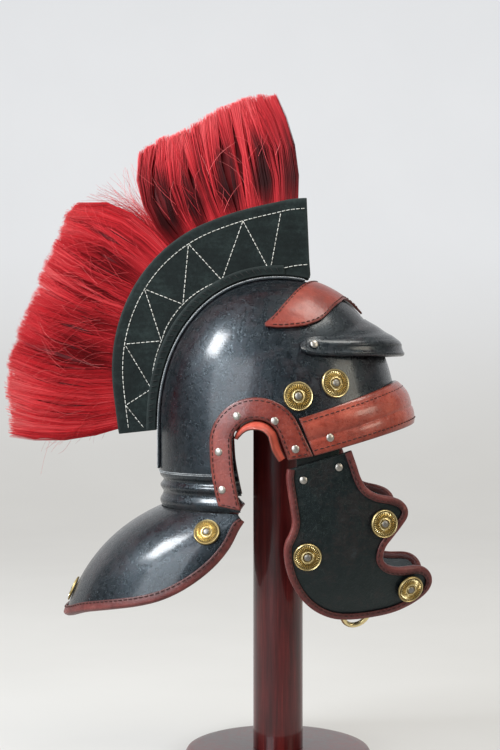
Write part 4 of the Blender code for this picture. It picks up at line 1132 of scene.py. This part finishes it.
# ---------------- brow
BROW_PLATE = (              # x, y of the rear edge, x, y of the front edge, from the tip to the middle
    (-14, 73, -13, 74.5), (-4, 68, 0, 75.5), (8, 57, 14, 74.5), (17, 45, 28, 71), (26, 30, 43, 61.5),
    (31.5, 17, 57.5, 39), (35, 7, 67, 15), (36.5, 0, 82, 0))
PEAK_EDGE = (               # angle from the front, height of the seam, then height and reach of rim and foot
    (0, 446, 425, 23.5, 409.5, 20.0), (15, 445.5, 425, 22.5, 409.5, 19), (30, 442, 424.5, 19.5, 409, 16),
    (45, 436, 424, 15, 409, 11.5), (56, 431.5, 423.5, 10.5, 408.5, 8), (65, 428.5, 423.5, 7, 408.5, 5.5),
    (72, 427, 424.5, 4.5, 409, 4.4), (77, 425.5, 424, 4, 410.5, 4), (80.5, 421.5, 420.5, 3.9, 413.5, 3.9))


def brow_plate_grid(shares, out):
    """Rows of the brow plate from its rear to its front edge, `out` off the dome."""
    half = smooth_path(BROW_PLATE, 80)
    rear = np.vstack([half[:-1, :2] * (1, -1), half[::-1, :2]])
    front = np.vstack([half[:-1, 2:] * (1, -1), half[::-1, 2:]])
    place = rear + (front - rear) * np.asarray(shares)[:, None, None]
    return skull_over_plan(place[..., 0], place[..., 1], out)


def build_brow_plate():
    """The crescent plate over the brow, stitched round its edge."""
    rows = brow_plate_grid(np.linspace(0, 1, 22), PLATE_FIT)
    sheet("brow_crescent", rows, THIN_LEATHER, (0.3, 0, 1), "plate_leather", "brow_plate",
          rounding=0.7, fade=1.3)
    fine = brow_plate_grid(np.linspace(0, 1, 120), PLATE_FIT + THIN_LEATHER)
    down = np.linalg.norm(np.diff(fine, axis=0), axis=2).cumsum(axis=0)
    width = down[-1]
    keep = np.flatnonzero(width > 8)
    runs = []
    for inset in (2.6, -2.6):
        place = np.where(inset > 0, inset, width[keep] + inset)
        row = np.array([np.searchsorted(down[:, column], at) for column, at in zip(keep, place)])
        path = fine[np.minimum(row, 119), keep]
        path = smooth_path(path[::6], 240)
        runs.append(stitches(path, skull_normal(*path.T), 4.0, 1.4, 0.48))
    thread("brow_plate_thread", runs, "dark_thread")


def rounded_corner(before, at, after, radius, steps=5):
    """A quadratic curve that rounds off a corner, from `radius` back along either side."""
    share = np.linspace(0, 1, steps)[:, None]
    back, on = before - at, after - at
    start, end = (at + side * np.minimum(radius / np.linalg.norm(side, axis=1, keepdims=True), 0.45)
                  for side in (back, on))
    start, at, end = (point[:, None] for point in (start, at, end))
    return (1 - share) ** 2 * start + 2 * share * (1 - share) * at + share ** 2 * end


def peak_corners(angle_deg):
    """The peak's section at plan angles: seam, rim top, rim foot and the thin underside's corners."""
    clear = FIT + 0.4
    turn = np.radians(angle_deg)
    seam, top, top_reach, foot, foot_reach = soft_table(PEAK_EDGE, range(1, 6), np.abs(angle_deg))
    outward = unit(np.stack([np.cos(turn) / HALF_LENGTH, np.sin(turn) / HALF_WIDTH, 0 * turn], axis=1))
    roll = np.minimum(7.0, foot_reach - clear)[:, None]
    upper = skull_at_angle(turn, top) + outward * top_reach[:, None]
    lower = skull_at_angle(turn, foot) + outward * foot_reach[:, None]
    under_out = np.maximum(clear + 0.3, top_reach - roll[:, 0] - 1.5)[:, None]
    under = skull_at_angle(turn, top - LEATHER - 1.0) + outward * under_out
    return [skull_at_angle(turn, seam, clear), upper - outward * 2.0, upper - (0, 0, 2.5),
            lower + (0, 0, 2.0), lower - outward * 2.0, lower - outward * roll, under,
            skull_at_angle(turn, seam - 3.5, clear)]


def build_peak():
    """The horseshoe peak: ridges along its top face, a dished rim between two beads, tabs at the ends.

    The top face stands out by ridges (sine squares along its width) that fade towards the
    tabs; the rim's face is drawn in by a parabola and swells to a bead at both its edges.
    """
    limit = PEAK_EDGE[-1][0]
    angles = np.linspace(-limit, limit, 180)
    seam, shoulder, brink, foot, sole, heel, under, inner = peak_corners(angles)
    fade = 1 - smoothstep(np.abs(angles), 46, 74)
    width = np.linalg.norm(shoulder - seam, axis=1)
    over = np.cross(shoulder - seam, np.gradient(seam, axis=0))
    over = unit(over) * np.sign(unit(over)[:, 2:3])
    share = np.linspace(0.03, 0.93, 26)[:, None]
    ridge = 0.5 * np.sin(math.pi * 2 * share ** 1.3) ** 2
    top = (seam[:, None] + (shoulder - seam)[:, None] * share
           + over[:, None] * (ridge * (fade * np.minimum(width / 24, 1))[:, None, None]))
    outward = unit((brink - shoulder) * (1, 1, 0))
    share = np.linspace(0.14, 0.86, 12)[:, None]
    dish = -0.7 * 4 * share * (1 - share) + sum(
        0.35 * np.exp(-((share - bead) / 0.07) ** 2) for bead in (0.16, 0.84))
    face = brink[:, None] + (foot - brink)[:, None] * share + outward[:, None] * (dish * fade[:, None, None])
    sections = np.concatenate([
        rounded_corner(inner, seam, shoulder, 0.5, 3), top, rounded_corner(seam, shoulder, brink, 1.6),
        rounded_corner(shoulder, brink, foot, 1.6), face, rounded_corner(brink, foot, sole, 1.6),
        rounded_corner(foot, sole, heel, 1.6), rounded_corner(sole, heel, under, 1.0),
        rounded_corner(heel, under, inner, 1.5), rounded_corner(under, inner, seam, 0.5, 3)], axis=1)
    # painted highlight and wear: the rim's top edge gets black leather's lighter edge colour
    rim_wear_and_highlight = np.zeros(sections.shape[:2])
    rim_wear_and_highlight[:, 29:35] = 0.4
    loft("horseshoe_peak", sections, "black_leather", "brow_peak", values={"edge": rim_wear_and_highlight}, crease=60)


EAR_FOOT = (7.5, 311.5, 30.5, 315.0)        # x, z of the inner and the outer edge of the front leg's foot


def brow_band_grid(columns, shares, lift):
    """Rows of the brow band from its upper to its lower edge, lift off the flared skirt.

    Its section bulges over a crease: 1.3 exp(-((s - 0.70) / 0.17)^2) less
    1.1 exp(-((s - 0.40) / 0.05)^2).
    """
    share = np.asarray(shares)[:, None]
    end_x = EAR_FOOT[2] + 1.2 + (16.0 - EAR_FOOT[2]) * share
    end = np.arccos((end_x / HALF_LENGTH) ** (SKULL_POWER / 2))
    angles = end * np.linspace(-1, 1, columns)
    x = HALF_LENGTH * np.cos(angles) ** (2 / SKULL_POWER)
    height = brow_bottom(x) + share * (brow_top(x) - brow_bottom(x))
    bulge = 1.3 * np.exp(-((share - 0.70) / 0.17) ** 2) - 1.1 * np.exp(-((share - 0.40) / 0.05) ** 2)
    return skull_at_angle(angles, height, skirt_offset(x, share + 0 * x) + lift + bulge)


def build_brow_band():
    """The bulging band over the brow, from ear to ear, with a row of stitches along either edge."""
    rows = brow_band_grid(180, np.linspace(1, 0, 28), BROW_FIT)
    sheet("brow_roll", rows, LEATHER, (1, 0, 0), "band_leather", "brow_band", rounding=0.9, fade=1.8)
    fine = brow_band_grid(400, np.linspace(1, 0, 76), BROW_FIT + LEATHER)
    normals = grid_normals(fine, fine * (1, 1, 0))
    runs = [stitches(fine[row], normals[row], 4.0, 1.5, 0.5) for row in (8, 65)]
    thread("brow_band_thread", runs, "dark_thread")


# ---------------- ears
EAR_LEG = (                 # x, z of the inner edge, x, z of the outer edge, rear leg from its foot up
    (-36.0, 264.0, -56.5, 268.0), (-39.5, 281.0, -60.5, 285.0), (-43.0, 302.0, -63.5, 305.0))


def ear_band_grid(shares, side, out, count=170):
    """Rows of the arched band from its inner to its outer edge, laid on the skull's side."""
    arch = np.hstack([arc(EAR_CENTRE, radius, 178, 26, 13) for radius in (EAR_INNER, EAR_OUTER)])
    edges = smooth_path(np.vstack([EAR_LEG, arch, (arch[-1] + EAR_FOOT) / 2, EAR_FOOT]), count)
    place = edges[:, :2] + (edges[:, 2:] - edges[:, :2]) * np.asarray(shares)[:, None, None]
    return skull_from_side(place[..., 0], place[..., 1], side, out)


def build_ears():
    """The arched band round each ear, its stitches, and the guard that juts out of the opening."""
    for word, side in SIDES.items():
        shares = np.linspace(0, 1, 14)
        crown = 0.55 * (1 - (2 * shares - 1) ** 4)[:, None]
        rows = ear_band_grid(shares, side, FIT + crown)
        sheet(f"ear_arch_{word}", rows, LEATHER, (0, side, 0), "red_leather", f"ear_band_{word}",
              rounding=0.9, fade=1.6)
        top = ear_band_grid(np.linspace(0, 1, 41), side, FIT + LEATHER + 0.35, 300)
        inner, outer = top[5, 4:-5], top[35, 4:-5]
        across = [top[6:35, 4], top[6:35, -6]]
        runs = [stitches(path, skull_normal(*path.T), 3.9, 1.5, 0.48) for path in (inner, outer, *across)]
        thread(f"ear_thread_{word}", runs, "dark_thread")
        build_ear_guard(word, side)


def build_ear_guard(word, side):
    """A stiff strip that follows the opening's top and front, drooping as it juts out.

    At depth d a point is path + inward jut (0.03 + 0.42 d^1.9) and root + jut d across;
    the inner face is the same, a wall's depth further in, and a half round joins them.
    """
    depth_of_wall = 2.6
    top = arc(EAR_CENTRE, EAR_INNER - 0.8, 168, 26, 12)
    path = smooth_path(np.vstack([top, (1.2, 324.0), (5.8, 314.0)]), 110)
    along = unit(np.gradient(path, axis=0))
    inward = np.stack([along[:, 1], -along[:, 0]], axis=1)
    jut = np.interp(np.linspace(0, 1, len(path)), (0, 0.06, 0.35, 0.85, 1), (3, 6.5, 14, 16, 13))
    start = np.abs(skull_from_side(path[:, 0], path[:, 1], side)[:, 1]) - LEATHER
    out = np.linspace(0, 1, 16)
    lip = np.linspace(0, 1, 7)[1:-1]
    depth = np.concatenate([out, 1 + 0.07 * np.sin(math.pi * lip), out[::-1]])
    through = np.concatenate([0 * out, lip, 0 * out + 1])
    key = np.linspace(0, 1, 30)
    droop = np.interp(np.minimum(depth, 1), key, 0.03 + 0.42 * key ** 1.9)
    fall = jut[:, None, None] * droop[:, None] + depth_of_wall * through[:, None]
    plan = path[:, None] + inward[:, None] * fall
    y = side * (start[:, None] + jut[:, None] * depth)
    sections = np.stack([plan[..., 0], y, plan[..., 1]], axis=-1)
    # painted shade: the edge number gives the strip's inner face the guard leather's dark edge colour, and
    # also darkens a band along the outer rim of its lip
    rim = (depth > 0.93) & (through < 0.5)
    shade = np.tile(smoothstep(through, 0.3, 1.0) * 1.3 + 0.35 * rim, (len(path), 1))
    loft(f"ear_shade_{word}", sections, "guard_leather", f"ear_guard_{word}",
         values={"edge": shade}, crease=60)


# ---------------- cheek guards
CHEEK_MIDDLE = (70.0, 200.0)
CHEEK_EDGE = (              # x, z from the upper rear corner down, round the chin and up to the front corner
    (6.5, 303), (5.8, 292), (9.5, 267), (11.3, 253), (9, 243), (4.5, 233), (3.6, 223), (5.6, 209),
    (10.5, 194.5), (20.5, 178), (34, 165.5), (50, 158), (67, 156), (88.5, 157.5), (111, 161.6),
    (130, 169.5), (143, 179), (148.4, 188), (148, 197), (142.5, 204.3), (133, 207.6), (116, 207),
    (105.4, 209.3), (99.4, 214.5), (99, 221), (101.6, 228.5), (107.5, 236), (116.5, 247),
    (122.4, 256), (122.2, 264.5), (116, 271.8), (106, 275.8), (92, 279), (82, 285.3), (76.3, 295),
    (72.6, 306), (67.6, 320))
CHEEK_GRID = 3.4            # spacing of the points inside the outline
CHEEK_BINDING = 5.2
CHEEK_BINDING_ROOM = 0.8
RING_PLACE = (77.0, 158.5)
RING_TILT = 8.0
RING_WIRE = 2.5
RING_HALF = 13.0            # half of its straight bar
RING_DROP = 14.5
TAB_LEATHER = 1.6
TAB_ROOM = 0.4
TAB_HALF = 7.0              # half of the leather loop's width
TAB_STRAIGHT = -7.0         # its legs along the guard, from here
TAB_END = -14.0             # to here


def cheek_point(x, z, side, out=0.0):
    """The cheek guard's outer face and its normal: upright by the ear, curling in at the chin."""
    forward = np.maximum(x - 20.0, 0.0)
    below = np.maximum(250.0 - z, 0.0)
    y = 90 - 0.03 * (320 - z) - forward ** 2 / 460 - below ** 2 / 360
    normal = unit(np.stack([forward / 230 + 0 * y, side + 0 * y, -0.03 - below / 180 + 0 * y], axis=-1))
    return np.stack([x + 0 * y, side * y, z + 0 * y], axis=-1) + normal * out, normal


def inset(outline, distance):
    """Move an outline that runs counter-clockwise inwards."""
    along = unit(np.gradient(outline, axis=0))
    return outline + np.stack([-along[:, 1], along[:, 0]], axis=1) * distance


def cheek_fill(outline):
    """Points inside the outline on an even grid, the outline itself, and triangles over them all."""
    x, z = np.meshgrid(np.arange(5, 150, CHEEK_GRID), np.arange(158, 320, CHEEK_GRID))
    inner = np.stack([x.ravel(), z.ravel()], axis=1)
    step = np.roll(outline, -1, axis=0) - outline
    reach = inner[:, None] - outline
    spans = (reach[..., 1] >= 0) != (reach[..., 1] >= step[:, 1])
    left_of = reach[..., 0] * step[:, 1] < reach[..., 1] * step[:, 0]
    crossings = (spans & (left_of == (step[:, 1] > 0))).sum(axis=1)
    away = distance_to(inner, np.vstack([outline, outline[:1]]))
    inner = inner[(crossings % 2 == 1) & (away > 0.45 * CHEEK_GRID)]
    flat = [Vector(point) for point in np.vstack([outline, inner])]
    points, _, faces = delaunay_2d_cdt(flat, [], [range(len(outline))], 1, 0.0001)[:3]
    return np.array([tuple(point) for point in points]), np.array(faces)


def build_cheeks():
    """Both cheek guards with their bound and stitched edges, hinge straps, tabs and rings."""
    outline = inset(smooth_path(CHEEK_EDGE, 260), CHEEK_BINDING_ROOM + BINDING_LEATHER)
    top = np.linspace(outline[-1], outline[0], 26)[1:-1]
    flat, faces = cheek_fill(np.vstack([outline, top]))
    away = distance_to(flat, np.vstack([outline, top, outline[:1]]))
    tip = np.array([CHEEK_MIDDLE[0], 0.0, CHEEK_MIDDLE[1]])
    for word, side in SIDES.items():
        points = cheek_point(flat[:, 0], flat[:, 1], side)[0]
        mesh = mesh_of(f"cheek_flap_{word}", points, [faces], {"edge": np.exp(-away / 2.0)})
        wall(piece(f"cheek_flap_{word}", mesh, "cheek_leather", f"cheek_guard_{word}"), -CHEEK_LEATHER,
             (0, side, 0), 0.5)
        edge, normal = cheek_point(outline[:, 0], outline[:, 1], side)
        inward = unit(np.cross(normal, np.gradient(edge, axis=0)))
        inward *= np.sign((inward * (tip - edge)).sum(axis=1).mean())
        path = binding(f"cheek_edge_strip_{word}", edge, inward, normal, CHEEK_LEATHER,
                       np.full(len(edge), CHEEK_BINDING), CHEEK_BINDING_ROOM, f"cheek_binding_{word}")
        thread(f"cheek_thread_{word}", [stitches(path[3:-3], normal[3:-3], 3.8, 1.6, 0.48)], "dark_thread")
        build_hinge_strap(word, side)
        build_ring(word, side)


def build_hinge_strap(word, side):
    """The strap that hangs the cheek guard from the inside of the skull's edge."""
    x = np.linspace(16, 56, 40)
    share = np.linspace(0, 1, 40)[:, None]
    top = brow_bottom(x) + 13
    low = 288 + (x - 16) * 0.27
    height = top + (low - top) * share
    inside = np.abs(skull_from_side(x, brow_bottom(x), side)[:, 1]) - LEATHER - FIT
    cheek = np.abs(cheek_point(x, height, side)[0][..., 1]) - CHEEK_LEATHER - FIT
    y = inside + (np.minimum(cheek, inside) - inside) * np.minimum(1.0, share / 0.6)
    rows = np.stack([x + 0 * y, side * y, height], axis=-1)
    sheet(f"cheek_hinge_{word}", rows, -THIN_LEATHER, (0, side, 0), "cheek_leather", f"hinge_strap_{word}",
          rounding=0.5)


def build_ring(word, side):
    """A D-shaped brass ring below the chin edge and the leather loop that holds its straight bar."""
    inside = RING_WIRE + TAB_ROOM
    outer = inside + TAB_LEATHER
    behind = -CHEEK_LEATHER - 2.6 - outer
    middle, normal = cheek_point(np.array(RING_PLACE[0]), np.array(RING_PLACE[1]), side, behind)
    across = unit(np.cross(normal, (0, 0, 1)) * side * -1)
    down = unit(np.cross(normal, across))
    down *= -np.sign(down[2])
    tilt = math.radians(RING_TILT)
    across, down = (across * math.cos(tilt) - down * math.sin(tilt),
                    down * math.cos(tilt) + across * math.sin(tilt))
    turn = np.linspace(0, math.pi, 40)[:, None]
    bend = middle + across * RING_HALF * np.cos(turn) + down * (2.5 + RING_DROP * np.sin(turn))
    bar = middle + across * np.linspace(-RING_HALF, RING_HALF, 16)[:, None]
    corner = across * (RING_HALF + 0.1)
    path = np.vstack([bend, middle - corner + down * 1.2, bar, middle + corner + down * 1.2])
    around = np.roll(path, -1, axis=0) - np.roll(path, 1, axis=0)
    u = unit(np.cross(around, normal))
    v = unit(np.cross(around, u))
    circle = np.linspace(0, 2 * math.pi, 18, endpoint=False)[:, None]
    sections = path[:, None] + RING_WIRE * (u[:, None] * np.cos(circle) + v[:, None] * np.sin(circle))
    loft(f"dee_wire_{word}", sections, "brass", f"dee_ring_{word}", ring=True,
         values={"hollow": np.zeros(sections.shape[:2])})
    fold = arc((0.0, 0.0), 1.0, 0, 180, 20)
    legs = np.array([(1, TAB_END), (1, TAB_STRAIGHT)])
    section = np.vstack([legs * (outer, 1), outer * fold, legs[::-1] * (-outer, 1),
                         legs * (-inside, 1), inside * fold * (-1, 1), legs[::-1] * (inside, 1)])
    width = np.array([-TAB_HALF, -6.7, -3.0, 0.0, 3.0, 6.7, TAB_HALF])
    pinch = np.array([0.96, 1.0, 1.0, 1.0, 1.0, 1.0, 0.96])[:, None, None]
    sections = (middle + across * width[:, None, None]
                + (normal * section[:, :1] + down * section[:, 1:])[None] * pinch)
    loft(f"dee_loop_{word}", sections, "black_leather", f"dee_tab_{word}", crease=50)


# ---------------- floor, lights and camera
LIT_PLACE = Vector((-0.03, 0.0, 0.40))      # where every light is aimed, m
CAMERA_PLACE = (-0.028, -1.400, 0.391)      # m
CAMERA_LENS = 67.2                          # mm, over a sensor 36 mm wide
BEND_START = 2000                           # of the backdrop, behind the helmet, mm
BEND_RADIUS = 1200
LIGHTS = (                                  # name, direction, distance and size in m, watts, colour
    ("key_softbox", (-0.72, -0.32, 0.64), 1.7, 0.45, 40, (0.94, 0.97, 1.0)),
    ("top_softbox", (0.38, -0.20, 0.90), 1.8, 0.7, 20, (1.0, 0.97, 0.90)),
    ("window", (-0.58, -0.77, 0.26), 2.2, 1.4, 46, (0.88, 0.94, 1.0)),
    ("front_fill", (0.80, -0.50, 0.30), 2.4, 0.9, 18, (1.0, 0.93, 0.78)))


def soft_light(name, toward, distance, size, watts, tint):
    """A square soft light that shines at the helmet from the given direction."""
    lamp = bpy.data.lights.new(name, "AREA")
    lamp.energy = watts
    lamp.color = tint
    lamp.size = size
    thing = new_object(name, lamp)
    direction = Vector(toward).normalized()
    thing.location = LIT_PLACE + direction * distance
    thing.rotation_euler = direction.to_track_quat("Z", "Y").to_euler()


def build_studio():
    """A pale floor that curves up into a backdrop and glows as painted light, brighter up the backdrop and
    fading out towards the camera; soft lights and the camera.
    """
    bend = np.linspace(0, math.pi / 2, 24)
    curve = BEND_RADIUS * np.stack([np.sin(bend), 1 - np.cos(bend)], axis=1) + (BEND_START, 0)
    profile = np.vstack([(-4500, 0), (0, 0), curve, (BEND_START + BEND_RADIUS, 5000)])
    grid = np.stack([np.stack([0 * profile[:, 0] + x, *profile.T], axis=1) for x in (-6000.0, 6000.0)])
    floor = new_object("floor", mesh_of("floor", grid, [grid_faces(2, len(profile))], crease=60))
    paint = Finish("floor_paint", "", {"Roughness": 0.9, "Specular IOR Level": 0.1, "Emission Strength": 1.0})
    # painted light: the floor glows from behind the helmet, fading out towards the camera, and glows brighter
    # up the backdrop
    behind = paint.along("Y").rise(-0.55, 0.05)
    height = paint.along("Z").rise(0.0, 0.9)
    glow = paint.mix(height, (0.46, 0.45, 0.43), (0.62, 0.63, 0.65))
    paint.feed("Emission Color", paint.mix(behind, (0.02, 0.02, 0.02), glow))
    paint.feed("Base Color", paint.ramp(paint.noise(3, 3), (0.3, (0.235, 0.235, 0.23)),
                                        (0.7, (0.26, 0.26, 0.255))))
    floor.data.materials.append(paint.material)
    world = bpy.data.worlds.new("pale_room")
    bpy.context.scene.world = world
    world.use_nodes = True
    background = world.node_tree.nodes["Background"].inputs
    background["Color"].default_value = (0.80, 0.81, 0.83, 1.0)
    background["Strength"].default_value = 0.13
    bpy.context.scene.view_settings.view_transform = "Standard"
    for light in LIGHTS:
        soft_light(*light)
    eye = bpy.data.cameras.new("camera")
    eye.lens = CAMERA_LENS
    eye.sensor_width = 36.0
    camera = new_object("camera", eye)
    camera.location = CAMERA_PLACE
    camera.rotation_euler = (math.pi / 2, 0.0, 0.0)
    bpy.context.scene.camera = camera


build_stand()
build_skull()
build_neck_guard()
build_crown_strip()
build_crest()
# the fifth and sixth numbers set each plume's painted shadow pockets and its level of painted light, higher
# on the rear plume
hair("plume_front", PLUMES["crest_hair_front"], 6300, 26, 0.85, 0.54, 11, "crest_hair_front")
hair("plume_rear_one", PLUMES["crest_hair_rear"], 4600, 44, 0.28, 0.60, 12, "crest_hair_rear")
hair("plume_rear_two", PLUMES["crest_hair_rear"], 4600, 44, 0.28, 0.60, 13)
plume_core("plume_front_core", PLUMES["crest_hair_front"])
plume_core("plume_rear_core", PLUMES["crest_hair_rear"])
build_loose_hair()
build_brow_plate()
build_peak()
build_brow_band()
build_ears()
build_cheeks()
build_studs()
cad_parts["stand_cap"].material_slots[0].material = FINISHES["dark_wood"].material
build_studio()
